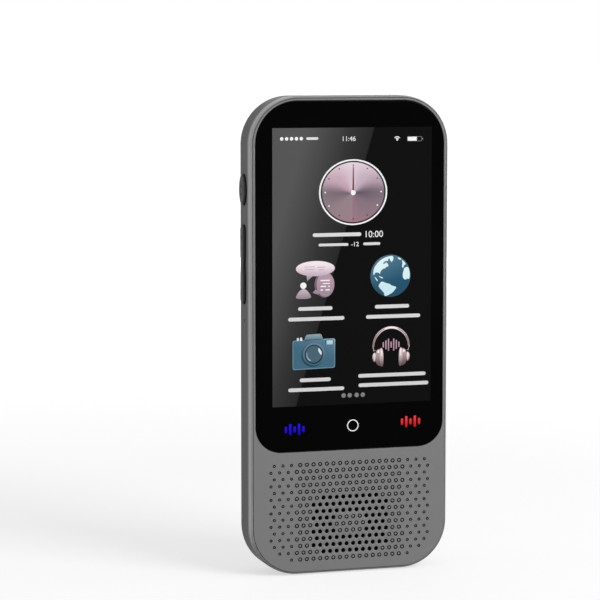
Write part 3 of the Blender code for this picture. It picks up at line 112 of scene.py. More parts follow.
def bar(left, right, cz, height, steps=4):
    """A lying bar with round ends."""
    return rounded(right - left, height, height * 0.499, steps=steps, cx=(left + right) / 2, cz=cz)


def box(width, height, corner, cx, cz, steps=3):
    """A small rounded rectangle."""
    return rounded(width, height, corner, steps=steps, cx=cx, cz=cz)


def pill(width, height, grow, steps):
    """A bar round the origin whose ends are all but half circles."""
    corner = min(width, height) / 2 - 0.001
    return rounded(width + 2 * grow, height + 2 * grow, corner + grow, steps=steps)


def body_outline(inset):
    return rounded(WIDTH - 2 * inset, HEIGHT - 2 * inset, CORNER - inset, cz=HEIGHT / 2)


def glass_outline(grow=0.0):
    return rounded(
        WIDTH - 2 * (GLASS_INSET - grow), GLASS_HIGH + 2 * grow, CORNER - GLASS_INSET + grow,
        GLASS_FOOT + grow, cz=GLASS_TOP - GLASS_HIGH / 2,
    )


def panel_outline(grow=0.0):
    width, height, cx, cz = PANEL
    return rounded(width + 2 * grow, height + 2 * grow, 2.0 + grow, steps=SMALL_STEPS, cx=cx, cz=cz)


# Mesh building

def at_front(point, depth):
    return Vector((point[0], FRONT_Y + depth, point[1])) * MM


def at_side(point, out, side, cz):
    return Vector((side * out, FRONT_Y + KEY_LINE + point[0], cz + point[1])) * MM


def at_foot(point, up):
    return Vector((point[0], FRONT_Y + USB_CENTRE + point[1], up)) * MM


def ring(shape, points):
    return [shape.verts.new(point) for point in points]


def front_ring(shape, points, depth):
    return ring(shape, [at_front(p, depth) for p in points])


def skin(shape, first, second):
    count = len(first)
    for i in range(count):
        j = (i + 1) % count
        shape.faces.new((first[i], first[j], second[j], second[i]))


def skins(shape, rows):
    for first, second in zip(rows, rows[1:]):
        skin(shape, first, second)


def fill(shape, loops):
    """Fills the flat region inside the first loop, with the others as its holes."""
    edges = []
    for loop in loops:
        for a, b in zip(loop, loop[1:] + loop[:1]):
            edges.append(shape.edges.get((a, b)) or shape.edges.new((a, b)))
    bmesh.ops.triangle_fill(shape, use_beauty=True, edges=edges)


def crown(shape, loop, top):
    """Closes a loop with a fan to one point."""
    tip = shape.verts.new(top)
    for a, b in zip(loop, loop[1:] + loop[:1]):
        shape.faces.new((a, b, tip))


def placed(name, data):
    made = bpy.data.objects.new(name, data)
    bpy.context.scene.collection.objects.link(made)
    return made


def even_normals(piece, angle=SHARP_ANGLE):
    """Smooth shading, with the edges past the angle kept sharp."""
    piece.data.shade_smooth()
    piece.data.set_sharp_from_angle(angle=math.radians(angle))
    weigh = piece.modifiers.new("even_normals", "WEIGHTED_NORMAL")
    weigh.keep_sharp = True


def finish_mesh(name, shape, material, angle=SHARP_ANGLE):
    bmesh.ops.remove_doubles(shape, verts=shape.verts, dist=1e-7)
    bmesh.ops.recalc_face_normals(shape, faces=shape.faces)
    mesh = bpy.data.meshes.new(name)
    shape.to_mesh(mesh)
    shape.free()
    piece = placed(name, mesh)
    if material:
        mesh.materials.append(material)
        even_normals(piece, angle)
    return piece


def dress(piece, slot, body="casing", stands_for=()):
    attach(piece, body)
    if stands_for:
        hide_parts(*stands_for)
    return piece


def lofted(name, rows, material, closed=False):
    shape = bmesh.new()
    rings = [ring(shape, row) for row in rows]
    skins(shape, rings)
    if closed:
        skin(shape, rings[-1], rings[0])
    else:
        fill(shape, [rings[0]])
        fill(shape, [rings[-1]])
    return finish_mesh(name, shape, material)


def fitted(name, rows, slot, node_name, body="casing", closed=False):
    """A loft with the finish of its slot, in place of one solid."""
    return dress(lofted(name, rows, SLOT_FINISH[slot], closed), slot, body, [node_name])


def turned(name, profile, slot, node_name, sides=96, closed=False):
    """A round piece on the camera's axis, from rows of radius and depth."""
    rows = [[at_front(p, depth) for p in disc(0.0, CAMERA_Z, radius, sides)] for radius, depth in profile]
    return fitted(name, rows, slot, node_name, closed=closed)


def carve(target, cutters):
    """Takes each cutter out of the target and applies the result."""
    target.modifiers.clear()
    for cutter in cutters:
        step = target.modifiers.new("cut", "BOOLEAN")
        step.operation, step.solver, step.object = "DIFFERENCE", "EXACT", cutter
        graph = bpy.context.evaluated_depsgraph_get()
        made = bpy.data.meshes.new_from_object(target.evaluated_get(graph))
        target.modifiers.clear()
        target.data = made
        bpy.data.objects.remove(cutter)
    even_normals(target)
    return target


# Materials

SOCKETS = {
    "colour": "Base Color", "rough": "Roughness", "specular": "Specular IOR Level", "metallic": "Metallic",
    "clear": "Transmission Weight", "ior": "IOR", "lit": "Emission Color", "light": "Emission Strength",
}
PATCH = 12.0
PICTURE_ROUGH, PICTURE_SPECULAR = 0.3, 0.03
# Where the band's front rounding lies in depth, and how much its painted highlight lightens the colour
RIDGE_Y, RIDGE_HIGHLIGHT = FRONT_Y + 1.4, 2.2


def node(tree, kind, **settings):
    made = tree.nodes.new(kind)
    for name, value in settings.items():
        setattr(made, name, value)
    return made


def new_material(name):
    material = bpy.data.materials.new(name)
    material.use_nodes = True
    return material, material.node_tree


def plug(tree, value, socket):
    """Links a socket to the given one, or types a plain value into it."""
    if isinstance(value, bpy.types.NodeSocket):
        tree.links.new(value, socket)
    else:
        socket.default_value = value


def set_shader(tree, **values):
    shader = tree.nodes["Principled BSDF"]
    for name, value in values.items():
        plug(tree, value, shader.inputs[SOCKETS[name]])


def object_place(tree):
    return node(tree, "ShaderNodeTexCoord").outputs["Object"]


def noise_of(tree, size, detail=2.0, stretch=None):
    """Noise whose grain has the given size in millimetres."""
    place = object_place(tree)
    if stretch:
        mapping = node(tree, "ShaderNodeMapping")
        mapping.inputs["Scale"].default_value = stretch
        tree.links.new(place, mapping.inputs["Vector"])
        place = mapping.outputs["Vector"]
    noise = node(tree, "ShaderNodeTexNoise")
    noise.inputs["Scale"].default_value = 1 / (size * MM)
    noise.inputs["Detail"].default_value = detail
    tree.links.new(place, noise.inputs["Vector"])
    return noise.outputs["Fac"]


def ranged(tree, value, low, high, from_low=0.3, from_high=0.7):
    made = node(tree, "ShaderNodeMapRange")
    made.inputs["From Min"].default_value = from_low
    made.inputs["From Max"].default_value = from_high
    made.inputs["To Min"].default_value = low
    made.inputs["To Max"].default_value = high
    tree.links.new(value, made.inputs["Value"])
    return made.outputs["Result"]


def scaled_colour(tree, colour, factor):
    """A colour times a varying factor."""
    made = node(tree, "ShaderNodeVectorMath", operation="SCALE")
    plug(tree, colour, made.inputs[0])
    tree.links.new(factor, made.inputs["Scale"])
    return made.outputs["Vector"]


def ramp_of(tree, value, stops, smooth=True):
    made = node(tree, "ShaderNodeValToRGB")
    made.color_ramp.interpolation = "EASE" if smooth else "LINEAR"
    elements = made.color_ramp.elements
    while len(elements) < len(stops):
        elements.new(0.5)
    for element, (place, colour) in zip(elements, stops):
        element.position = place
        element.color = (*colour, 1.0)
    tree.links.new(value, made.inputs["Fac"])
    return made.outputs["Color"]


def relief(tree, height, depth):
    """Relief of the given depth in millimetres."""
    bump = node(tree, "ShaderNodeBump")
    bump.inputs["Distance"].default_value = depth * MM
    tree.links.new(height, bump.inputs["Height"])
    tree.links.new(bump.outputs["Normal"], tree.nodes["Principled BSDF"].inputs["Normal"])


def calc(tree, operation, first, second=None):
    made = node(tree, "ShaderNodeMath", operation=operation)
    plug(tree, first, made.inputs[0])
    if second is not None:
        plug(tree, second, made.inputs[1])
    return made.outputs["Value"]


def product(tree, first, *others):
    for other in others:
        first = calc(tree, "MULTIPLY", first, other)
    return first


def span(tree, across, up):
    """The length of a flat vector."""
    return calc(tree, "SQRT", calc(tree, "ADD", product(tree, across, across), product(tree, up, up)))


def off_from(tree, value, middle):
    return calc(tree, "ABSOLUTE", calc(tree, "SUBTRACT", value, middle))


def beyond(tree, value, middle, limit):
    """How far past a limit the value lies, to either side of the middle."""
    return calc(tree, "MAXIMUM", calc(tree, "SUBTRACT", off_from(tree, value, middle), limit), 0.0)


def axis_of(tree, axis):
    """One of the object's coordinates, in millimetres."""
    split = node(tree, "ShaderNodeSeparateXYZ")
    tree.links.new(object_place(tree), split.inputs["Vector"])
    return calc(tree, "DIVIDE", split.outputs[axis], MM)


def axes_of(tree):
    """The object's x and z in millimetres."""
    return axis_of(tree, "X"), axis_of(tree, "Z")


def round_place(tree, cx, cz):
    """The height over a centre, the share of a turn round it and the distance from it."""
    x, z = axes_of(tree)
    dx, dz = calc(tree, "SUBTRACT", x, cx), calc(tree, "SUBTRACT", z, cz)
    turn = calc(tree, "ADD", calc(tree, "DIVIDE", calc(tree, "ARCTAN2", dx, dz), TAU), 0.5)
    return dz, turn, span(tree, dx, dz)


def seen_directly(tree):
    """One for rays from the camera, mirrored and through glass too, and nought for rays that light things."""
    path = node(tree, "ShaderNodeLightPath")
    indirect = calc(tree, "MAXIMUM", path.outputs["Is Glossy Ray"], path.outputs["Is Transmission Ray"])
    return calc(tree, "MAXIMUM", path.outputs["Is Camera Ray"], indirect)


def front_shade(tree):
    """Painted shade: darkens with depth behind the front plane, as in the dimples and holes."""
    return ranged(tree, axis_of(tree, "Y"), 1.0, 0.07, FRONT_Y + 0.06, FRONT_Y + 0.16)


def side_shade(tree):
    """Painted shade: darkens below the faces of the side keys."""
    out = calc(tree, "ABSOLUTE", axis_of(tree, "X"))
    return ranged(tree, out, 0.03, 1.0, WIDTH / 2 + 0.22, WIDTH / 2 + 0.36)


def band_shade(tree):
    """Painted shade inwards from the outline, as in the slots round the keys, and a painted highlight on the
    front rounding.
    """
    x, y, z = (axis_of(tree, axis) for axis in "XYZ")
    reach = span(
        tree, beyond(tree, x, 0.0, WIDTH / 2 - CORNER), beyond(tree, z, HEIGHT / 2, HEIGHT / 2 - CORNER)
    )
    rear_end = FRONT_Y + BAND_DEPTH
    # The painted highlight along the front rounding
    pale = product(
        tree,
        ranged(tree, off_from(tree, y, RIDGE_Y), RIDGE_HIGHLIGHT, 0.0, 0.5, 2.3),
        # the painted highlight is less on the flat by the front plate, none at the foot, and less towards the
        # right
        ranged(tree, reach, 0.65, 1.0, CORNER - 0.42, CORNER - 0.28),
        ranged(tree, z, 0.0, 1.0, 3.0, 16.0),
        ranged(tree, x, 1.0, 0.75, -10.0, WIDTH / 2 - 4),
    )
    return product(
        tree,
        # painted shade in the slots, at the very top and at the rear seam, and painted light that makes the
        # right side paler
        ranged(tree, reach, 0.06, 1.0, CORNER - 1.1, CORNER - 0.75),
        ranged(tree, x, 1.0, 1.45, WIDTH / 2 - 14, WIDTH / 2 - 1),
        ranged(tree, z, 1.0, 0.5, HEIGHT - 0.5, HEIGHT - 0.1),
        ranged(tree, y, 1.0, 0.1, rear_end - 0.35, rear_end - 0.15),
        calc(tree, "ADD", pale, 1.0),
    )


def cover_shade(tree):
    """Painted shade at the seam with the band, and a painted highlight on the edge beside it."""
    y = axis_of(tree, "Y")
    seam = ranged(tree, y, 0.1, 1.0, SEAM_Y + 0.15, SEAM_Y + 0.35)
    return product(tree, seam, ranged(tree, y, 1.4, 1.0, SEAM_Y + 0.4, SEAM_Y + 1.3))


def rough_paint(name, colour, rough, metallic=0.0, grain=0.35, vary=0.05, bump=0.004, stretch=None,
                specular=0.5, rough_vary=0.06, shade=None, glow=None):
    """Colour, gloss and relief that vary a little in a fine grain and in large soft patches.

    A shade is a function that gives a factor for the colour. A glow is a second colour, the height it is
    centred on and how far it reaches up and down.
    """
    material, tree = new_material(name)
    fine = noise_of(tree, grain, 4.0, stretch)
    level = product(
        tree, ranged(tree, fine, 1 - vary, 1 + vary),
        ranged(tree, noise_of(tree, PATCH), 1 - vary / 2, 1 + vary / 2),
    )
    if shade:
        level = product(tree, level, shade(tree))
    if glow:
        tint, height, reach = glow
        off = off_from(tree, axis_of(tree, "Z"), height)
        colour = ramp_of(tree, ranged(tree, off, 0.0, 1.0, 0.5, reach), ((0.0, tint), (1.0, colour)))
    set_shader(
        tree, colour=scaled_colour(tree, colour, level), metallic=metallic, specular=specular,
        rough=ranged(tree, fine, rough - rough_vary, rough + rough_vary),
    )
    if bump:
        relief(tree, fine, bump)
    return material


def ink(name, low, high, bottom, top, lean=0.0):
    """A picture colour that shades from low at one height to high at another."""
    material, tree = new_material(name)
    x, z = axes_of(tree)
    level = calc(tree, "ADD", z, product(tree, x, lean))
    speckle = ranged(tree, noise_of(tree, 0.25, 1.0), -0.02, 0.02)
    share = calc(tree, "ADD", ranged(tree, level, 0.0, 1.0, bottom, top), speckle)
    colour = ramp_of(tree, share, ((0.0, low), (1.0, high)))
    set_shader(tree, colour=colour, rough=PICTURE_ROUGH, specular=PICTURE_SPECULAR)
    return material


def around_ink(name, cx, cz, stops, falls):
    """A brushed metal disc: its colour goes round with the angle, and falls from top to foot at the rim."""
    material, tree = new_material(name)
    up, turn, radius = round_place(tree, cx, cz)
    blend = node(tree, "ShaderNodeMix", data_type="RGBA")
    tree.links.new(ranged(tree, radius, 0.1, 0.65, 1.5, 9.5), blend.inputs["Factor"])
    tree.links.new(ramp_of(tree, turn, stops), blend.inputs["A"])
    tree.links.new(ramp_of(tree, ranged(tree, up, 0.0, 1.0, -9.5, 9.5), falls), blend.inputs["B"])
    set_shader(tree, colour=blend.outputs["Result"], rough=PICTURE_ROUGH, specular=PICTURE_SPECULAR)
    return material


def screen_sheet_material():
    """A dark sheet with a painted lighter reflection that fades towards a slanting edge."""
    material, tree = new_material("screen_dark")
    x, z = axes_of(tree)
    edge_x, edge_z, lean, reach = 7.8, 138.6, 0.295, 24.0
    slant = product(tree, calc(tree, "SUBTRACT", z, edge_z), lean)
    past_edge = calc(tree, "SUBTRACT", calc(tree, "SUBTRACT", x, edge_x), slant)
    stops = (
        (0.0, (0.1, 0.1, 0.102)), (0.09, (0.1, 0.1, 0.102)), (0.4, (0.067, 0.067, 0.069)),
        (0.68, (0.037, 0.037, 0.038)), (0.985, (0.021, 0.021, 0.022)), (1.0, (0.0035, 0.0035, 0.0038)),
    )
    colour = ramp_of(tree, ranged(tree, past_edge, 0.0, 1.0, -reach, 0.0), stops, smooth=False)
    set_shader(tree, colour=colour, rough=0.25, specular=PICTURE_SPECULAR)
    return material


def glass_material():
    material, tree = new_material("black_glass_print")
    smear = noise_of(tree, 18.0)
    colour = scaled_colour(tree, (0.0004, 0.0004, 0.0005), ranged(tree, smear, 0.8, 1.2))
    set_shader(tree, colour=colour, rough=ranged(tree, smear, 0.05, 0.11), specular=0.02)
    return material


def turned_metal_material():
    """Dark metal with fine turned rings, and painted highlights in two opposite sectors where such rings
    would shine.
    """
    material, tree = new_material("turned_dark_metal")
    _, turn, radius = round_place(tree, 0.0, CAMERA_Z)
    lines = node(tree, "ShaderNodeTexNoise", noise_dimensions="1D")
    lines.inputs["Scale"].default_value = 14.0
    lines.inputs["Detail"].default_value = 2.0
    tree.links.new(radius, lines.inputs["W"])
    rings = lines.outputs["Fac"]
    # Painted highlights round the turn: two bright sectors opposite each other, and two weak ones between
    # them
    tone = ramp_of(tree, turn, (
        (0.0, (0.004, 0.004, 0.004)), (0.13, (0.32, 0.32, 0.31)), (0.25, (0.003, 0.003, 0.003)),
        (0.37, (0.045, 0.045, 0.043)), (0.5, (0.004, 0.004, 0.004)), (0.62, (0.26, 0.26, 0.255)),
        (0.75, (0.003, 0.003, 0.003)), (0.87, (0.05, 0.049, 0.047)), (1.0, (0.004, 0.004, 0.004)),
    ))
    set_shader(
        tree, colour=scaled_colour(tree, tone, ranged(tree, rings, 0.8, 1.25)),
        rough=ranged(tree, rings, 0.3, 0.42), metallic=0.6, specular=0.04,
    )
    relief(tree, rings, 0.006)
    return material


def lens_material():
    """A coated lens: near black at the rim, with a painted violet reflection of its coating in a ring inside
    it and a painted highlight as a pale spot in the middle.
    """
    material, tree = new_material("coated_lens")
    radius = round_place(tree, 0.0, CAMERA_Z)[-1]
    colour = ramp_of(tree, calc(tree, "DIVIDE", radius, LENS_RADIUS), (
        (0.0, (0.7, 0.7, 0.85)), (0.1, (0.3, 0.3, 0.5)), (0.2, (0.01, 0.008, 0.04)),
        (0.5, (0.008, 0.006, 0.045)), (0.7, (0.09, 0.08, 0.2)), (0.84, (0.02, 0.015, 0.06)),
        (1.0, (0.004, 0.004, 0.006)),
    ))
    set_shader(tree, colour=colour, rough=0.05, specular=0.06)
    return material


def clear_material():
    material, tree = new_material("clear_cover")
    haze = noise_of(tree, 3.0)
    colour = scaled_colour(tree, (0.92, 0.93, 1.0), ranged(tree, haze, 0.97, 1.0))
    set_shader(tree, colour=colour, rough=ranged(tree, haze, 0.0, 0.03), clear=1.0, ior=1.12)
    return material


def woven_material():
    """A fine woven cloth of crossed threads."""
    material, tree = new_material("speaker_cloth")
    colour, thread, waves = (0.01, 0.01, 0.01), 0.12, []
    for direction in ("X", "Z"):
        wave = node(tree, "ShaderNodeTexWave", wave_type="BANDS", bands_direction=direction)
        wave.inputs["Scale"].default_value = 1 / (thread * MM) / 6
        tree.links.new(object_place(tree), wave.inputs["Vector"])
        waves.append(wave.outputs["Fac"])
    cross = product(tree, *waves)
    tone = scaled_colour(tree, colour, ranged(tree, cross, 0.5, 1.6, 0.0, 1.0))
    set_shader(tree, colour=tone, rough=0.9, specular=0.2)
    relief(tree, cross, 0.05)
    return material


SHELL_GREY = (0.18, 0.18, 0.18)


def shell_paint(place, shade=None):
    return rough_paint(
        f"satin_grey_{place}", SHELL_GREY, 0.42, grain=0.22, vary=0.03, bump=0.0015, shade=shade
    )


def key_paint(tint, colour, specular, glow=None):
    return rough_paint(
        f"satin_{tint}_key", colour, 0.4, grain=0.25, vary=0.04, bump=0.001, specular=specular,
        shade=side_shade, glow=glow
    )


SLOT_FINISH = {
    "grey_shell": shell_paint("shell"),
    "black_glass": glass_material(),
    "display": rough_paint("display_stack", (0.02, 0.02, 0.024), 0.3, grain=1.5, vary=0.1, bump=0),
    "adhesive": rough_paint("black_adhesive", (0.02, 0.02, 0.02), 0.8, grain=0.2, vary=0.2),
    "flex": rough_paint("amber_flex", (0.35, 0.16, 0.04), 0.4, grain=0.4, vary=0.15, stretch=(8, 1, 1)),
    "steel": rough_paint(
        "brushed_steel", (0.55, 0.55, 0.57), 0.3, 1.0, grain=0.6, vary=0.12, stretch=(12, 1, 1)
    ),
    "board": rough_paint("green_board", (0.02, 0.12, 0.05), 0.45, grain=1.2, vary=0.25, bump=0.02),
    "battery": rough_paint("foil_pouch", (0.45, 0.46, 0.48), 0.35, 0.6, grain=2.5, vary=0.08, bump=0.05),
    "black_plastic": rough_paint(
        "black_plastic_grain", (0.006, 0.006, 0.007), 0.5, grain=0.3, vary=0.2, specular=0.06
    ),
    "cloth": woven_material(),
    "rubber": rough_paint("black_rubber", (0.02, 0.02, 0.02), 0.8, grain=0.3, vary=0.2),
    "dark_metal": turned_metal_material(),
    "lens": lens_material(),
    "clear_glass": clear_material(),
    "key_grey": key_paint("grey", (0.068, 0.068, 0.068), 0.04),
    "key_blue": key_paint("blue", (0.05, 0.047, 0.072), 0.05, ((0.02, 0.018, 0.1), BLUE_Z, 5.0)),
    "key_red": key_paint("red", (0.068, 0.053, 0.05), 0.05, ((0.125, 0.024, 0.03), RED_Z, 5.0)),
}


def dress_frame_nodes():
    slots = {row["node"]: row["material_slot"] for row in frame["record"]["subparts"]}
    for name, solid in frame["nodes"].items():
        # The microphones take the black plastic finish as painted shade, so that the slots in front of them
        # read dark
        finish = SLOT_FINISH["black_plastic" if name.startswith("microphone") else slots[name]]
        if not solid.material_slots:
            solid.data.materials.append(finish)
        for material_slot in solid.material_slots:
            material_slot.material = finish


# Side band

def quarter(start, end, steps, front_first):
    """Points of a quarter ellipse between two (inset, depth) places."""
    points = []
    for i in range(steps + 1):
        angle = TAU / 4 * i / steps
        shares = (1 - math.cos(angle), math.sin(angle))
        if front_first:
            shares = shares[::-1]
        points.append(tuple(a + (b - a) * share for a, b, share in zip(start, end, shares)))
    return points


def oval_outline(grow=0.0):
    return oval(6.2 + 2 * grow, 9.5 + 2 * grow)


def talk_outline(grow=0.0):
    return pill(4.4, 12.2, grow, 10)


def rocker_outline(grow=0.0):
    """A long bar with round ends, drawn in a little at its middle."""
    half, straight, steps = 1.9 + grow, 10.35, 20
    waist, waist_reach = 0.35, 2.6
    side = [(half, -straight + 2 * straight * i / steps) for i in range(1, steps)]
    upper = arc(0, straight, half, 0, TAU / 2, 16)
    lower = arc(0, -straight, half, TAU / 2, TAU, 16)
    drawn = []
    for x, z in side + upper + [(-x, z) for x, z in side[::-1]] + lower:
        pull = waist * math.exp(-((z / waist_reach) ** 2))
        drawn.append((math.copysign(max(abs(x) - pull, 0.0), x), z))
    return drawn


# Side, height, outline and slot of each key
KEYS = {
    "power": (LEFT, POWER_Z, oval_outline, "key_grey"),
    "function": (RIGHT, FUNCTION_Z, oval_outline, "key_grey"),
    "blue": (RIGHT, BLUE_Z, talk_outline, "key_blue"),
    "red": (RIGHT, RED_Z, talk_outline, "key_red"),
    "volume": (LEFT, VOLUME_Z, rocker_outline, "key_grey"),
}
# Side, height and length of each microphone slot
MICROPHONE_SLOTS = ((LEFT, 79.4, 1.1), (RIGHT, 131.0, 1.7))


def slot_cutter(outline, side, cz):
    ends = (WIDTH / 2 - WALL - 1, WIDTH / 2 + 1)
    return lofted("cutter", [[at_side(p, out, side, cz) for p in outline] for out in ends], None)


def usb_outline(grow=0.0):
    return pill(*USB_SIZE, grow, 12)


def build_band():
    profile = [(LIP_INSET, LIP_DROP)]
    profile += quarter((FRONT_ROUND[0], LIP_DROP), (0.0, FRONT_ROUND[1]), ROUND_STEPS, True)
    rear = (0.0, BAND_DEPTH - REAR_ROUND[1]), (REAR_ROUND[0], BAND_DEPTH)
    profile += quarter(*rear, SMALL_STEPS, False)
    groove, inner_depth = PLATE_INSET - 0.06, PLATE_THICK + 0.1
    profile += [(WALL, BAND_DEPTH), (WALL, inner_depth), (groove, inner_depth), (groove, 0.3)]
    profile.append((LIP_INSET + 0.06, LIP_DROP + 0.08))
    rows = [[at_front(p, depth) for p in body_outline(inset)] for inset, depth in profile]
    paint = rough_paint(
        "satin_grey_band", SHELL_GREY, 0.36, grain=0.22, vary=0.02, bump=0.0005, rough_vary=0.02,
        specular=0.004, shade=band_shade
    )
    band = lofted("side_band", rows, paint, closed=True)
    cutters = [slot_cutter(outline(CLEARANCE), side, cz) for side, cz, outline, _ in KEYS.values()]
    cutters += [slot_cutter(pill(0.8, high, 0.0, 6), side, cz) for side, cz, high in MICROPHONE_SLOTS]
    mouth = usb_outline(CLEARANCE)
    cutters.append(lofted("cutter", [[at_foot(p, up) for p in mouth] for up in (-1, WALL + 1)], None))
    dress(carve(band, cutters), "grey_shell", stands_for=["mid_frame"])


# Front plate with its grille

HOLE, EDGE_HOLE = 0.68, 0.5
PITCH, EDGE_PITCH, ROW_PITCH = 2.17, 2.8, 2.128
ROWS, TOP_ROW, GRILLE_MARGIN = 15, 34.5, 4.1
# The open field: its middle height, then half its width and height, where its cut corners start, and half
# the closed core in its middle
SPEAKER_Z, FIELD, FIELD_CORNER, CORE = 15.3, (12.2, 8.8), (10.2, 6.8), (4.7, 2.5)


def in_body(x, z, margin):
    over_x = max(abs(x) - (WIDTH / 2 - CORNER), 0)
    over_z = max(abs(z - HEIGHT / 2) - (HEIGHT / 2 - CORNER), 0)
    return math.hypot(over_x, over_z) <= CORNER - margin


def is_open(x, z):
    across, up = abs(x), abs(z - SPEAKER_Z)
    in_field = across < FIELD[0] and up < FIELD[1]
    in_corner = across > FIELD_CORNER[0] and up > FIELD_CORNER[1]
    in_core = across < CORE[0] and up < CORE[1]
    return in_field and not in_corner and not in_core


def grille_holes():
    for row in range(ROWS):
        z = TOP_ROW - ROW_PITCH * row
        start = PITCH / 2 if row % 2 == 0 else 0.0
        half = [(start + PITCH * i, HOLE) for i in range(8 + row % 2)]
        half += [(half[-1][0] + EDGE_PITCH * i, EDGE_HOLE) for i in (1, 2, 3)]
        for x, radius in half + [(-x, radius) for x, radius in half if x > 0]:
            if in_body(x, z, GRILLE_MARGIN):
                yield x, z, radius


# Shares of a dimple's radius, with depths: its rim, wall, ring-shaped floor and raised middle
DIMPLE = (
    (1.05, 0.0), (1.0, 0.04), (0.96, 0.5), (0.77, 0.6), (0.6, 0.5), (0.52, 0.1), (0.42, 0.045), (0.24, 0.03),
)
EDGE_DIMPLE = (
    (1.06, 0.0), (1.0, 0.04), (0.96, 0.5), (0.66, 0.6), (0.44, 0.5), (0.36, 0.1), (0.26, 0.06), (0.14, 0.05),
)


def build_front_plate():
    shape = bmesh.new()
    edge = [
        front_ring(shape, body_outline(inset), depth)
        for inset, depth in quarter((PLATE_INSET + PLATE_EDGE, 0.0), (PLATE_INSET, PLATE_EDGE), 5, True)
    ]
    edge.append(front_ring(shape, body_outline(PLATE_INSET), PLATE_THICK))
    recess = [
        front_ring(shape, glass_outline(GLASS_GAP + out), depth)
        for out, depth in ((0.12, 0.0), (0.035, 0.035), (0.0, 0.12), (0.0, RECESS))
    ]
    window = [front_ring(shape, panel_outline(0.3), depth) for depth in (RECESS, PLATE_THICK)]
    for rows in (edge, recess, window):
        skins(shape, rows)
    front_holes, back_holes = [], []
    for x, z, radius in grille_holes():
        if is_open(x, z):
            rows = [
                front_ring(shape, disc(x, z, radius + out, 20), depth)
                for out, depth in ((0.03, 0.0), (0.01, 0.01), (0.0, 0.04), (0.0, PLATE_THICK))
            ]
            back_holes.append(rows[-1])
        else:
            steps = DIMPLE if radius == HOLE else EDGE_DIMPLE
            rows = [front_ring(shape, disc(x, z, radius * share, 16), depth) for share, depth in steps]
            crown(shape, rows[-1], at_front((x, z), steps[-1][1] - 0.005))
        skins(shape, rows)
        front_holes.append(rows[0])
    fill(shape, [edge[0], recess[0], *front_holes])
    fill(shape, [recess[-1], window[0]])
    fill(shape, [edge[-1], window[-1], *back_holes])
    front = finish_mesh("front_face", shape, shell_paint("front", front_shade), 50)
    dress(front, "grey_shell", stands_for=["front_plate"])


# Cover glass

def build_glass():
    rows = [
        [at_front(p, depth) for p in glass_outline(-inset)]
        for inset, depth in quarter((0.2, GLASS_FACE), (0.0, 0.25), 5, True)
    ]
    rows.append([at_front(p, GLASS_THICK) for p in glass_outline()])
    fitted("front_glass", rows, "black_glass", "cover_glass")


# Rear cover

def build_rear_cover():
    shape = bmesh.new()
    dome = (COVER_INSET, COVER_FRONT + 0.25), (COVER_INSET + DOME_IN, DEPTH)
    profile = quarter(*dome, 18, False)[::-1] + [
        (COVER_INSET + 0.07, COVER_FRONT + 0.07), (COVER_INSET + 0.25, COVER_FRONT),
        (WALL + 0.2, COVER_FRONT), (WALL + 0.2, SKIRT_FRONT), (WALL + 1.2, SKIRT_FRONT),
        (WALL + 1.2, COVER_FRONT), (WALL + 4.0, COVER_INNER - 0.3), (WALL + 10.0, COVER_INNER),
    ]
    rows = [front_ring(shape, body_outline(inset), depth) for inset, depth in profile]
    skins(shape, rows)
    seat_depth, opening = 14.5, 4.2
    seat = [
        front_ring(shape, disc(0.0, CAMERA_Z, radius, 96), depth) for radius, depth in (
            (SEAT_RADIUS + 0.1, DEPTH), (SEAT_RADIUS, DEPTH - 0.1), (SEAT_RADIUS, seat_depth),
            (opening, seat_depth), (opening, COVER_INNER),
        )
    ]
    skins(shape, seat)
    fill(shape, [rows[0], seat[0]])
    fill(shape, [rows[-1], seat[-1]])
    cover = finish_mesh("rear_cover", shape, shell_paint("cover", cover_shade))
    dress(cover, "grey_shell", stands_for=["back_cover"])


# Camera

def build_camera():
    profile = [
        (7.4, 14.6), (7.4, 15.5), (7.36, 15.64), (7.27, 15.75), (7.13, 15.8), (6.98, 15.79), (6.93, 15.74),
    ]
    grooves = 12
    for i in range(grooves):
        radius, dish = 6.85 - 0.27 * i, 15.74 - 0.22 * i / (grooves - 1)
        profile += [(radius, dish), (radius - 0.1, dish - 0.012)]
    profile += [(3.68, 15.5), (3.6, 15.56), (3.45, 15.56), (3.3, 15.46), (3.3, 14.6)]
    turned("camera_ring", profile, "dark_metal", "camera_trim_ring", 128, True)
    barrel = [
        (3.6, 11.1), (3.6, 14.5), (3.2, 14.52), (3.15, 14.74), (2.9, 14.74), (2.84, 14.62), (2.66, 14.6),
        (2.6, 14.46), (2.42, 14.44), (2.36, 14.1),
    ]
    turned("lens_barrel", barrel, "black_plastic", "camera_barrel")
    foot, rim, rise = 14.1, 14.2, 0.52
    dome = [(LENS_RADIUS, foot)]
    for i in range(12):
        angle = TAU / 4 * i / 12
        dome.append((LENS_RADIUS * math.cos(angle), rim + rise * math.sin(angle)))
    turned("lens_dome", dome, "lens", "camera_lens")


# Side keys and their marks

MARK_DEPTH = 0.03


def build_key(name, side, cz, outline, slot):
    top = WIDTH / 2 + KEY_PROUD
    steps = [(FLANGE_REACH, FLANGE_INNER), (FLANGE_REACH, FLANGE_OUTER), (0.0, FLANGE_OUTER)]
    if name == "volume":
        steps = [(0.0, FLANGE_INNER)]
    steps.append((0.0, top - KEY_ROUND))
    for i in range(1, 7):
        angle = TAU / 4 * i / 6
        steps.append((-KEY_ROUND * (1 - math.cos(angle)), top - KEY_ROUND * (1 - math.sin(angle)) - 0.08))
    steps += [(-0.9, top - 0.04), (-1.3, top - 0.01)]
    rows = [[at_side(p, out, side, cz) for p in outline(grow)] for grow, out in steps]
    node_name = "volume_rocker" if name == "volume" else f"{name}_key"
    fitted(f"{name}_cap", rows, slot, node_name, f"{name}_button")


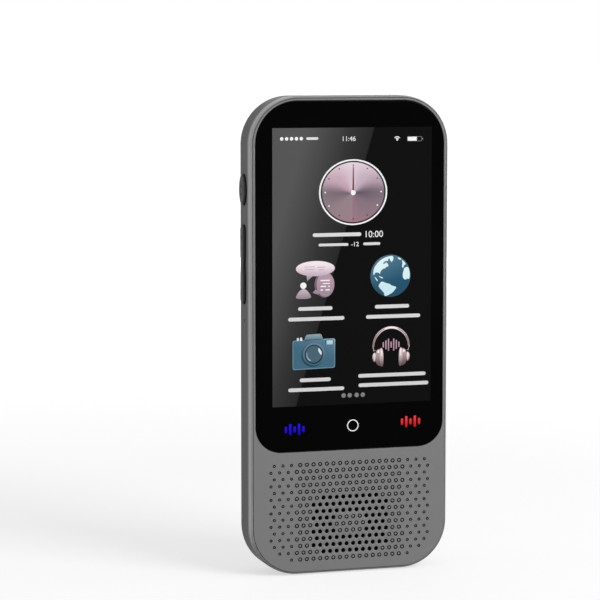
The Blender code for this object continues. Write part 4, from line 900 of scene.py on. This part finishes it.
def slab(name, loops, place, material, slot, body="casing"):
    """Thin closed shapes. Each entry is an outline, or a list of an outline and its holes."""
    shape = bmesh.new()
    for entry in loops:
        group = [entry] if isinstance(entry[0], tuple) else entry
        fronts = [ring(shape, [place(p, 0) for p in loop]) for loop in group]
        backs = [ring(shape, [place(p, 1) for p in loop]) for loop in group]
        for front, back in zip(fronts, backs):
            skin(shape, front, back)
        fill(shape, fronts)
        fill(shape, backs)
    return dress(finish_mesh(name, shape, material), slot, body)


def mark_key(name, key, loops, paint):
    """Lays thin marks in the face of a key."""
    side, cz, _, slot = KEYS[key]

    def place(point, back):
        return at_side(point, WIDTH / 2 + KEY_PROUD - MARK_DEPTH * back, side, cz)

    slab(name, loops, place, paint, slot, f"{key}_button")


def wave_bars(pitch, width, heights):
    """A row of upright bars, centred on the origin."""
    middle = (len(heights) - 1) / 2
    return [
        rounded(width, high, width * 0.49, steps=4, cx=pitch * (i - middle)) for i, high in enumerate(heights)
    ]


def build_keys():
    for name, row in KEYS.items():
        build_key(name, *row)
    pale = rough_paint("pale_mark", (0.3, 0.3, 0.3), 0.5, vary=0.06, bump=0)
    dark = rough_paint("dark_mark", (0.012, 0.012, 0.012), 0.5, vary=0.1, bump=0, specular=0.04)
    start, end = TAU * 0.33, TAU * 1.17
    circle = arc(0, 0, 1.7, start, end, 28) + arc(0, 0, 1.35, end, start, 28)
    mark_key("power_mark", "power", [circle, rounded(0.36, 1.9, 0.17, steps=4, cz=1.3)], dark)
    up, half, slim = 8.4, 0.95, 0.17
    plus = [(half, up - slim), (half, up + slim), (slim, up + slim), (slim, up + half), (-slim, up + half),
            (-slim, up + slim), (-half, up + slim), (-half, up - slim), (-slim, up - slim),
            (-slim, up - half), (slim, up - half), (slim, up - slim)]
    minus = [(-slim, -up - half), (slim, -up - half), (slim, -up + half), (-slim, -up + half)]
    mark_key("volume_marks", "volume", [plus, minus], dark)
    dot = 0.2
    dots = [
        [(x - dot, z - dot), (x + dot, z - dot), (x + dot, z + dot), (x - dot, z + dot)]
        for x in (-0.45, 0.45) for z in (-1.8, -0.9, 0.0, 0.9, 1.8)
    ]
    mark_key("function_marks", "function", dots, pale)
    turned_bars = [[(z, x) for x, z in loop] for loop in wave_bars(0.75, 0.36, (1.0, 1.9, 1.1, 1.9, 1.0))]
    for key, colour in (("blue", (0.04, 0.03, 0.42)), ("red", (0.42, 0.03, 0.04))):
        paint = rough_paint(f"{key}_mark", colour, 0.45, vary=0.06, bump=0)
        mark_key(f"{key}_mark_bars", key, turned_bars, paint)


# Charging socket

def build_socket():
    rows = [
        [at_foot(p, up) for p in usb_outline(-inset)]
        for inset, up in ((0.0, 7.7), (0.0, 0.4), (0.06, 0.3), (0.24, 0.3), (0.3, 0.4), (0.3, 7.4))
    ]
    fitted("socket_shell", rows, "steel", "usb_shell")
    tongue = [
        [at_foot(p, up) for p in rounded(6.7 - 2 * inset, 0.7 - 2 * inset, 0.12, steps=3)]
        for inset, up in ((0.1, 1.2), (0.0, 1.35), (0.0, 7.3))
    ]
    fitted("socket_tongue", tongue, "black_plastic", "usb_tongue")
    gold = rough_paint("gold_contacts", (0.7, 0.48, 0.16), 0.3, 1.0, grain=0.2, vary=0.08)
    contacts = bmesh.new()
    for face in (-0.35, 0.35):
        for i in range(12):
            x = -2.75 + 0.5 * i
            low = [(x - 0.12, face), (x + 0.12, face), (x + 0.12, face * 1.08), (x - 0.12, face * 1.08)]
            ends = [ring(contacts, [at_foot(p, up) for p in low]) for up in (1.7, 6.5)]
            skin(contacts, *ends)
            for end in ends:
                fill(contacts, [end])
    dress(finish_mesh("socket_contacts", contacts, gold), "steel")


# Screen picture

PICTURE_PLACE = (0.26, 0.14)
LAYER_STEP, LAYER_THICK = 0.005, 0.004
CLOCK_PLACE, TALK_PLACE, GLOBE_PLACE = (0.63, 118.75), (-11.62, 91.0), (12.9, 92.6)
PHOTO_PLACE, HEADPHONE_PLACE, HOME_PLACE = (-12.1, 68.9), (13.2, 71.0), (0.66, 46.05)


def on_glass(layer):
    """Places a picture shape in one of the thin layers on the glass."""
    front = GLASS_FACE - LAYER_STEP * (layer + 1)
    right, up = PICTURE_PLACE
    return lambda p, back: at_front((p[0] + right, p[1] + up), front + LAYER_THICK * back)


def picture(name, loops, layer, material):
    return slab(name, loops, on_glass(layer), material, "display")


def digits(name, text, left, cz, size, material):
    """Text in the first layer, its middle at the given height."""
    curve = bpy.data.curves.new(name, "FONT")
    curve.body = text
    curve.size = size * MM
    curve.extrude = LAYER_THICK / 2 * MM
    curve.resolution_u = 6
    text_object = placed(name, curve)
    bpy.context.view_layer.update()
    mesh = bpy.data.meshes.new_from_object(text_object)
    bpy.data.objects.remove(text_object)
    depth = GLASS_FACE - LAYER_STEP * 2 + LAYER_THICK / 2
    right, up = left + PICTURE_PLACE[0], cz - size * 0.34 + PICTURE_PLACE[1]
    for vertex in mesh.vertices:
        x, y, z = vertex.co
        vertex.co = Vector((right * MM + x, (FRONT_Y + depth) * MM - z, up * MM + y))
    shape = bmesh.new()
    shape.from_mesh(mesh)
    return dress(finish_mesh(name, shape, material), "display")


def moved(shape, cx, cz):
    """Moves an outline, or every outline in a list."""
    if isinstance(shape[0], tuple):
        return [(cx + x, cz + z) for x, z in shape]
    return [moved(part, cx, cz) for part in shape]


def both_sides(*loops):
    """The outlines and their mirror images."""
    return [[(side * x, z) for x, z in loop] for side in (LEFT, RIGHT) for loop in loops]


def icon(prefix, cx, cz):
    """Gives a function that draws the icon's pieces round this centre.

    The tint of a piece is a material, or the name, colours, heights over the centre and lean of a new ink.
    """
    def draw(name, layer, loops, *tint):
        material = tint[0]
        if isinstance(material, str):
            ink_name, low, high, bottom, top, *lean = tint
            material = ink(ink_name, low, high, cz + bottom, cz + top, *lean)
        picture(f"{prefix}_{name}", moved(loops, cx, cz), layer, material)
        return material

    return draw


def soft_corners(points, reach=0.7, steps=5):
    """Rounds the corners of a polygon."""
    soft = []
    for before, corner, after in zip(points[-1:] + points[:-1], points, points[1:] + points[:1]):
        ends = []
        for other in (before, after):
            share = reach / math.dist(corner, other)
            ends.append([c + (o - c) * share for c, o in zip(corner, other)])
        for i in range(steps + 1):
            t = i / steps
            weights = (1 - t) ** 2, 2 * t * (1 - t), t * t
            soft.append(tuple(
                sum(w * v for w, v in zip(weights, values)) for values in zip(ends[0], corner, ends[1])
            ))
    return soft


def smooth_loop(points, rounds=2):
    """Cuts the corners of a closed outline."""
    for _ in range(rounds):
        cut = []
        for (ax, az), (bx, bz) in zip(points, points[1:] + points[:1]):
            for share in (0.25, 0.75):
                cut.append((ax * (1 - share) + bx * share, az * (1 - share) + bz * share))
        points = cut
    return points


# Words stand on the screen as plain bars: left, right, middle height
WORD_BARS = (
    (-12.5, 3.3, 105.85), (-17.2, -6.1, 83.1), (-20.4, -2.2, 79.9), (7.8, 19.1, 83.05), (4.9, 22.8, 79.95),
    (-16.7, -6.6, 60.9), (-20.4, -2.2, 57.9), (2.4, 24.7, 61.55), (2.5, 25.6, 58.6),
)


def build_screen():
    picture("screen_sheet", [box(51.84, 86.05, 0.15, 0.45, 95.85, 2)], 0, screen_sheet_material())
    white = ink("white_ink", (0.98, 0.98, 0.98), (1.0, 1.0, 1.0), 50, 140)
    soft = ink("soft_white_ink", (0.72, 0.72, 0.73), (0.8, 0.8, 0.8), 50, 140)
    grey = ink("grey_ink", (0.19, 0.18, 0.185), (0.24, 0.23, 0.235), -2.4, 4.0)
    status = [disc(-22.45 + 1.57 * i, 135.6, 0.55, 20) for i in range(5)]
    wifi_x = 14.95
    status.append(disc(wifi_x, 134.9, 0.24, 12))
    for radius in (0.55, 1.1):
        outer = arc(wifi_x, 134.75, radius + 0.16, TAU * 0.12, TAU * 0.38, 10)
        inner = arc(wifi_x, 134.75, radius - 0.12, TAU * 0.38, TAU * 0.12, 10)
        status.append(outer + inner)
    status.append(box(3.1, 1.3, 0.15, 19.85, 135.2))
    picture("status_marks", status, 1, white)
    outline = [box(4.7, 1.5, 0.25, 20.7, 135.2), box(4.4, 1.2, 0.15, 20.7, 135.2)]
    picture("battery_outline", [outline, box(0.3, 0.6, 0.1, 23.3, 135.2)], 2, grey)
    picture("carrier_bar", [bar(-14.6, -10.7, 135.6, 0.8)], 1, soft)
    digits("time_digits", "11:46", -3.2, 135.45, 2.1, white)
    build_clock(white)
    words = [bar(left, right, cz, 1.15) for left, right, cz in WORD_BARS]
    words += [bar(-10.6, -0.9, 102.75, 0.85), bar(3.9, 9.5, 102.8, 0.85)]
    picture("word_bars", words, 1, soft)
    digits("clock_digits", "10:00", 4.15, 105.8, 2.85, white)
    digits("hour_digits", "-12", -0.1, 102.8, 2.0, white)
    picture("page_dots", [disc(x, 55.6, 0.72, 24) for x in (-2.4, -0.4, 1.9, 3.9)], 1, grey)
    build_talk_icon(white)
    build_globe_icon()
    build_camera_icon()
    build_headphone_icon()
    build_glass_marks()


def build_clock(white):
    draw, oblate, dot_ring = icon("clock", *CLOCK_PLACE), 0.917, 9.1

    def flat(radius):
        return oval(2 * radius, 2 * radius * oblate, 96, 0.0, 0.15)

    draw("rim", 1, [[flat(11.1), flat(10.6)]], white)
    draw("shadow", 1, [[flat(10.6), flat(10.1)]],
         "clock_shade", (0.03, 0.02, 0.025), (0.05, 0.045, 0.05), -10.75, 10.25)
    stops = (
        (0.0, (0.36, 0.25, 0.28)), (0.12, (0.33, 0.24, 0.27)), (0.25, (0.19, 0.14, 0.17)),
        (0.36, (0.62, 0.40, 0.48)), (0.5, (0.80, 0.63, 0.72)), (0.6, (0.62, 0.47, 0.57)),
        (0.74, (0.12, 0.09, 0.12)), (0.86, (0.24, 0.16, 0.21)), (1.0, (0.33, 0.19, 0.24)),
    )
    falls = ((0.0, (0.37, 0.21, 0.26)), (0.3, (0.31, 0.23, 0.26)), (0.5, (0.28, 0.21, 0.25)),
             (0.72, (0.62, 0.46, 0.54)), (1.0, (0.86, 0.72, 0.80)))
    draw("face", 1, [flat(10.1)], around_ink("clock_metal", *CLOCK_PLACE, stops, falls))
    dark_dots, light_dots = [], []
    for hour in range(12):
        angle = TAU * hour / 12
        dot = disc(dot_ring * math.sin(angle), dot_ring * oblate * math.cos(angle) + 0.2, 0.24, 14)
        (dark_dots if hour in (0, 1, 2, 5, 6, 7, 10, 11) else light_dots).append(dot)
    plum = draw("dark_dots", 2, dark_dots,
                "plum_ink", (0.1, 0.02, 0.05), (0.17, 0.045, 0.09), -10.75, 10.25)
    draw("light_dots", 2, light_dots, white)
    draw("hand", 2, [[(-0.3, 0), (0.3, 0), (0.14, 8.1), (-0.14, 8.1)]], plum)
    draw("hub", 3, [disc(0, 0, 0.8, 32)], white)


def build_talk_icon(white):
    """Two speech bubbles over a bust."""
    draw = icon("talk", *TALK_PLACE)
    draw("round_edge", 1, [oval(6.5, 8.0, 48, 2.95, -0.55)],
         "dusk_ink", (0.16, 0.1, 0.13), (0.24, 0.16, 0.2), -5, 2)
    mauve = draw("round_bubble", 2, [oval(5.7, 7.6, 48, 3.25, -0.55)],
                 "mauve_ink", (0.36, 0.28, 0.34), (0.5, 0.34, 0.42), -5, 2)
    draw("tails", 3, [[(0.0, -2.0), (-0.9, -2.95), (0.9, -3.6), (1.2, -2.6)]], mauve)
    draw("tip", 3, [[(-2.9, 2.9), (-2.7, 0.65), (-0.4, 2.6)]],
         "tip_ink", (0.3, 0.26, 0.3), (0.55, 0.45, 0.5), 0.6, 2.9)
    draw("wide_bubble", 4, [oval(12.6, 4.75, 56, 0.0, 4.5)],
         "rose_ink", (0.62, 0.47, 0.56), (1.0, 0.88, 0.94), 2.1, 6.4)
    wide_lines = ((-3.6, -0.2, 5.1), (0.6, 3.2, 4.9), (-3.4, -0.4, 4.3), (0.9, 2.8, 4.1))
    draw("wide_lines", 5, [bar(*line, 0.22) for line in wide_lines],
         "line_ink", (0.5, 0.34, 0.42), (0.62, 0.46, 0.54), 0, 6)
    lines = ((1.6, 4.7, 0.75, 0.42), (2.4, 4.7, -0.2, 0.3), (1.6, 3.5, -1.1, 0.42), (4.1, 4.7, -1.1, 0.42),
             (1.6, 2.5, -2.2, 0.42), (3.2, 4.7, -2.2, 0.42))
    draw("lines", 4, [bar(*line) for line in lines],
         "pale_rose_ink", (1.0, 0.88, 0.98), (1.0, 0.92, 0.98), -3, 1)
    bust = smooth_loop([(-2.5, -4.8), (2.5, -4.8), (2.35, -3.7), (1.2, -2.2), (0.3, -1.7), (-0.3, -1.7),
                        (-1.2, -2.2), (-2.35, -3.7)])
    draw("bust", 1, [moved(bust, -3.85, 0.0)],
         "bust_ink", (0.36, 0.28, 0.33), (0.6, 0.5, 0.55), -4.8, -1.7)
    draw("head", 2, [disc(-3.9, -0.7, 1.0, 28)], white)


LANDS = (
    ((-5.3, 2.8), (-4.6, 3.7), (-3.8, 4.6), (-2.5, 5.5), (-0.8, 6.1), (0.8, 6.3), (1.0, 5.3), (0.4, 4.2),
     (-0.1, 4.8), (-0.3, 5.4), (-0.8, 5.4), (-0.8, 4.6), (-1.5, 4.8), (-2.4, 4.2), (-2.4, 3.7), (-1.7, 4.0),
     (-1.2, 4.3), (-0.5, 3.0), (-1.4, 2.9), (-1.9, 2.3), (-2.4, 2.4), (-3.4, 1.4), (-3.4, 0.5), (-3.8, 1.1),
     (-5.0, 1.2), (-5.4, 0.3), (-5.7, 0.6), (-5.6, 1.7)),
    ((-5.3, -0.1), (-4.7, -0.5), (-4.1, -1.4), (-4.3, -1.6), (-4.9, -0.9)),
    ((-4.0, 0.2), (-3.1, -0.2), (-2.4, -0.5), (-2.6, -0.8), (-3.3, -0.5)),
    ((-3.1, -1.7), (-2.4, -1.8), (-1.2, -2.3), (-0.4, -2.4), (0.5, -3.1), (2.1, -3.5), (1.4, -4.5),
     (0.9, -5.1), (-0.5, -5.9), (-1.4, -6.3), (-2.0, -6.1),
     (-2.1, -5.3), (-2.8, -4.5), (-3.6, -3.7), (-4.0, -3.0)),
    ((2.2, 5.7), (3.0, 5.6), (3.7, 5.1), (3.3, 4.9), (2.6, 5.2)),
    ((3.7, 4.8), (4.3, 4.6), (5.0, 3.7), (5.0, 3.3), (4.5, 3.4), (4.3, 2.5), (3.9, 2.4), (3.8, 3.1),
     (4.0, 3.9)),
    ((4.5, 2.3), (5.3, 2.7), (5.9, 2.6), (6.3, 1.2), (6.4, -0.2), (6.2, -1.2), (5.5, -1.0), (4.9, -1.4),
     (4.4, -1.0), (4.0, -0.5), (4.1, 0.9), (4.3, 1.4)),
)


def build_globe_icon():
    draw, radius = icon("globe", *GLOBE_PLACE), 6.6
    draw("sea", 1, [disc(0, 0, radius, 72)],
         "sea_ink", (0.02, 0.09, 0.16), (0.085, 0.21, 0.31), -8.5, 3.5, -0.35)
    draw("rim", 2, [[disc(0, 0, radius, 72), disc(0, 0, radius - 0.22, 72)]],
         "sea_rim_ink", (0.03, 0.075, 0.1), (0.1, 0.17, 0.2), -radius, radius)
    draw("land", 3, [smooth_loop(loop, 1) for loop in LANDS],
         "land_ink", (0.62, 0.87, 0.95), (0.82, 0.98, 1.0), -radius, radius)


def build_camera_icon():
    draw = icon("photo", *PHOTO_PLACE)
    draw("edge", 1, [soft_corners([(-6.9, 4.4), (6.9, 4.75), (6.9, -4.45), (-6.9, -4.75)])],
         "camera_edge_ink", (0.17, 0.31, 0.4), (0.42, 0.58, 0.66), -4.8, 5, 0.6)
    inside = ((-6.9, 4.3), (6.9, 4.65), (6.9, -4.45), (-6.9, -4.75))
    draw("body", 2, [soft_corners([(x * 0.965, 0.05 + z * 0.955) for x, z in inside])],
         "steel_blue_ink", (0.06, 0.155, 0.23), (0.13, 0.25, 0.35), -5, 5, 0.35)
    draw("hump", 1, [soft_corners([(-3.3, 4.3), (-2.4, 6.15), (2.3, 6.3), (3.1, 4.5)], 0.5)],
         "hump_ink", (0.11, 0.21, 0.28), (0.28, 0.4, 0.46), 4.3, 6.3)
    glint = draw("knobs", 2, [box(0.62, 0.9, 0.15, -5.2, 4.75), box(0.72, 1.0, 0.15, -4.15, 4.8)],
                 "glint_ink", (0.72, 0.85, 0.88), (0.85, 0.93, 0.95), -3, 5)
    draw("window_shade", 3, [box(0.3, 1.35, 0.05, 3.95, 3.5, 2)],
         "deep_shade_ink", (0.004, 0.02, 0.05), (0.01, 0.03, 0.07), 0, 5)
    draw("window", 3, [box(2.1, 1.25, 0.1, 5.1, 3.5)],
         "window_ink", (0.42, 0.62, 0.7), (0.55, 0.75, 0.82), 2.8, 4.2)
    draw("lens_shade", 3, [oval(7.6, 7.4, 56, -0.35, -0.25)],
         "lens_shade_ink", (0.02, 0.065, 0.1), (0.05, 0.12, 0.17), -4, 4)
    draw("rim", 4, [disc(0, 0, 3.55, 56)],
         "lens_rim_ink", (0.06, 0.14, 0.2), (0.15, 0.24, 0.31), -3.6, 3.6)
    draw("ring", 5, [disc(-0.02, 0, 2.97, 56)],
         "ring_ink", (0.0, 0.006, 0.02), (0.01, 0.03, 0.06), -3, 3)
    draw("lens", 6, [disc(-0.05, 0, 2.66, 56)],
         "deep_blue_ink", (0.075, 0.14, 0.19), (0.012, 0.03, 0.055), -2.6, 2.6, 0.5)
    start, end = TAU * 0.47, TAU * 0.67
    moon = arc(-0.05, 0, 2.45, start, end, 16) + arc(0.2, 0.15, 2.3, end, start, 16)
    draw("moon", 7, [moon], "moon_ink", (0.35, 0.5, 0.6), (0.2, 0.33, 0.42), -2.4, 0.5)
    flare = [(1.35, 1.9), (1.75, 1.75), (2.5, 0.75), (2.55, -0.35), (2.0, 0.0), (1.5, 0.8)]
    draw("glint", 7, [flare], glint)


def build_headphone_icon():
    draw = icon("headphone", *HEADPHONE_PLACE)
    band = arc(0, -0.4, 6.15, 0, TAU / 2, 56) + arc(0, -0.45, 5.5, TAU / 2, 0, 56)
    draw("band", 1, [band], "headband_ink", (0.3, 0.2, 0.21), (0.98, 0.85, 0.88), 0.5, 5.6)
    start, end = TAU * 0.06, TAU * 0.19
    stripe = arc(0, -0.4, 5.98, start, end, 14) + arc(0, -0.4, 5.72, end, start, 14)
    draw("stripes", 2, both_sides(stripe),
         "stripe_ink", (0.12, 0.07, 0.08), (0.3, 0.2, 0.22), 0, 5)
    hook = [(5.95, -0.2), (6.15, -0.2), (5.75, -2.0), (5.2, -1.7), (5.2, -1.5), (5.6, -1.8)]
    draw("hooks", 2, both_sides(hook), "hook_ink", (0.45, 0.36, 0.35), (0.75, 0.65, 0.62), -2, 0)
    shell = [(3.2, -1.1), (4.6, -1.4), (5.2, -2.6), (5.1, -5.4), (4.3, -6.5), (3.0, -6.7)]
    draw("shells", 3, both_sides(smooth_loop(shell)),
         "shell_ink", (0.13, 0.08, 0.08), (0.55, 0.42, 0.42), -6.6, -1.2)
    cap = [(5.1, -2.2), (5.9, -2.6), (6.2, -3.8), (5.9, -5.0), (5.1, -5.6)]
    draw("caps", 4, both_sides(smooth_loop(cap)),
         "cap_ink", (0.2, 0.13, 0.12), (0.9, 0.78, 0.75), -5.4, -2.6)
    pad = [(2.8, -1.0), (3.7, -1.0), (3.8, -3.6), (3.5, -6.7), (2.6, -6.9), (2.5, -4.0)]
    draw("pads", 4, both_sides(smooth_loop(pad)),
         "pad_ink", (0.16, 0.1, 0.1), (0.85, 0.7, 0.7), -6.8, -1.4)
    glints = [
        smooth_loop([(x - half, foot), (x + half, foot), (x + half, top), (x - half, top)])
        for x, top, foot, half in ((5.5, -3.0, -5.0, 0.2), (3.1, -1.6, -3.6, 0.2), (4.2, -1.6, -2.5, 0.3))
    ]
    draw("glints", 5, both_sides(*glints),
         "cup_glint_ink", (0.75, 0.6, 0.6), (1.0, 0.9, 0.9), -5, -1.6)
    draw("bars", 1, wave_bars(0.86, 0.42, (1.75, 2.9, 3.9, 1.95, 3.9, 2.9, 1.75)),
         "rose_bar_ink", (0.46, 0.27, 0.36), (0.55, 0.35, 0.43), -2, 2)


def build_glass_marks():
    """The lit marks under the screen."""
    draw = icon("home", *HOME_PLACE)
    draw("ring", 1, [[disc(0, 0, 1.88, 56), disc(0, 0, 1.58, 56)]],
         "home_ink", (0.95, 0.95, 0.95), (1.0, 1.0, 1.0), -3.05, 1.95)
    bars = wave_bars(1.42, 0.78, (2.1, 3.6, 2.0, 3.7, 2.0))
    for name, place, low, high in (
        ("blue", (-18.33, 45.6), (0.008, 0.002, 0.45), (0.025, 0.008, 0.85)),
        ("red", (19.75, 46.5), (0.55, 0.008, 0.01), (0.95, 0.05, 0.06)),
    ):
        icon(name, *place)("bars", 1, bars, f"{name}_bars_ink", low, high, -2, 2)


# Stage, light and camera, in metres but for the camera's place

FLOOR_HALF, FLOOR_DROP = 40, 0.0002
AMBIENT = 0.4
LAMP_TARGET = Vector((0, 0, 0.075))
# Name, place, size and power of each lamp
LAMPS = (
    ("key", (0.85, -1.2, 0.9), (0.9, 0.9), 20.0),
    ("fill", (-1.1, 0.1, 0.25), (0.6, 1.0), 2.6),
    ("side", (1.2, -0.25, 0.2), (0.6, 1.0), 4.0),
    ("rear", (0.35, 1.1, 0.15), (0.5, 0.5), 2.2),
)
# The camera as fitted to the photograph: focal length in its pixels, angles in degrees, place in millimetres
FOCAL, YAW, PITCH_DOWN, VIEW_PLACE = 2502, 17.112, 5.796, (-242.3, -741.8, 164.0)
PHOTO_SIDE, SENSOR = 600, 36.0


def build_stage():
    shape = bmesh.new()
    for x, y in ((-1, -1), (1, -1), (1, 1), (-1, 1)):
        shape.verts.new((FLOOR_HALF * x, FLOOR_HALF * y, -FLOOR_DROP))
    shape.faces.new(shape.verts)
    floor = finish_mesh("floor", shape, None)
    material, tree = new_material("pale_floor")
    away = node(tree, "ShaderNodeVectorMath", operation="LENGTH")
    tree.links.new(object_place(tree), away.inputs[0])
    own_light = ranged(tree, away.outputs["Value"], 0.6, 0.95, 0.2, 1.2)
    set_shader(
        tree, colour=(0.45, 0.45, 0.45, 1.0), rough=0.9, specular=0.0, lit=(1.0, 1.0, 1.0, 1.0),
        light=product(tree, seen_directly(tree), own_light),
    )
    floor.data.materials.append(material)


def build_world():
    """White to the eye, and dimmer as a light."""
    world = bpy.data.worlds.new("studio")
    bpy.context.scene.world = world
    world.use_nodes = True
    tree = world.node_tree
    shade = tree.nodes["Background"]
    shade.inputs["Color"].default_value = (1.0, 1.0, 1.0, 1.0)
    strength = calc(tree, "ADD", AMBIENT, product(tree, seen_directly(tree), 1 - AMBIENT))
    tree.links.new(strength, shade.inputs["Strength"])


def aimed(name, data, place, ahead):
    holder = placed(name, data)
    holder.location = place
    holder.rotation_mode = "QUATERNION"
    holder.rotation_quaternion = ahead.to_track_quat("-Z", "Y")
    return holder


def build_lamps():
    for name, place, size, power in LAMPS:
        light = bpy.data.lights.new(name, "AREA")
        light.shape = "RECTANGLE"
        light.size, light.size_y = size
        light.energy = power
        aimed(name, light, place, LAMP_TARGET - Vector(place))


def build_camera_view():
    data = bpy.data.cameras.new("view")
    data.sensor_width = SENSOR
    data.lens = FOCAL / PHOTO_SIDE * SENSOR
    data.clip_start, data.clip_end = 0.01, 20
    yaw, pitch = math.radians(YAW), math.radians(PITCH_DOWN)
    ahead = Vector((math.sin(yaw) * math.cos(pitch), math.cos(yaw) * math.cos(pitch), -math.sin(pitch)))
    bpy.context.scene.camera = aimed("view", data, Vector(VIEW_PLACE) * MM, ahead)


dress_frame_nodes()
build_band()
build_front_plate()
build_glass()
build_rear_cover()
build_camera()
build_keys()
build_socket()
build_screen()
build_stage()
build_world()
build_lamps()
build_camera_view()
bpy.context.scene.view_settings.view_transform = "Standard"
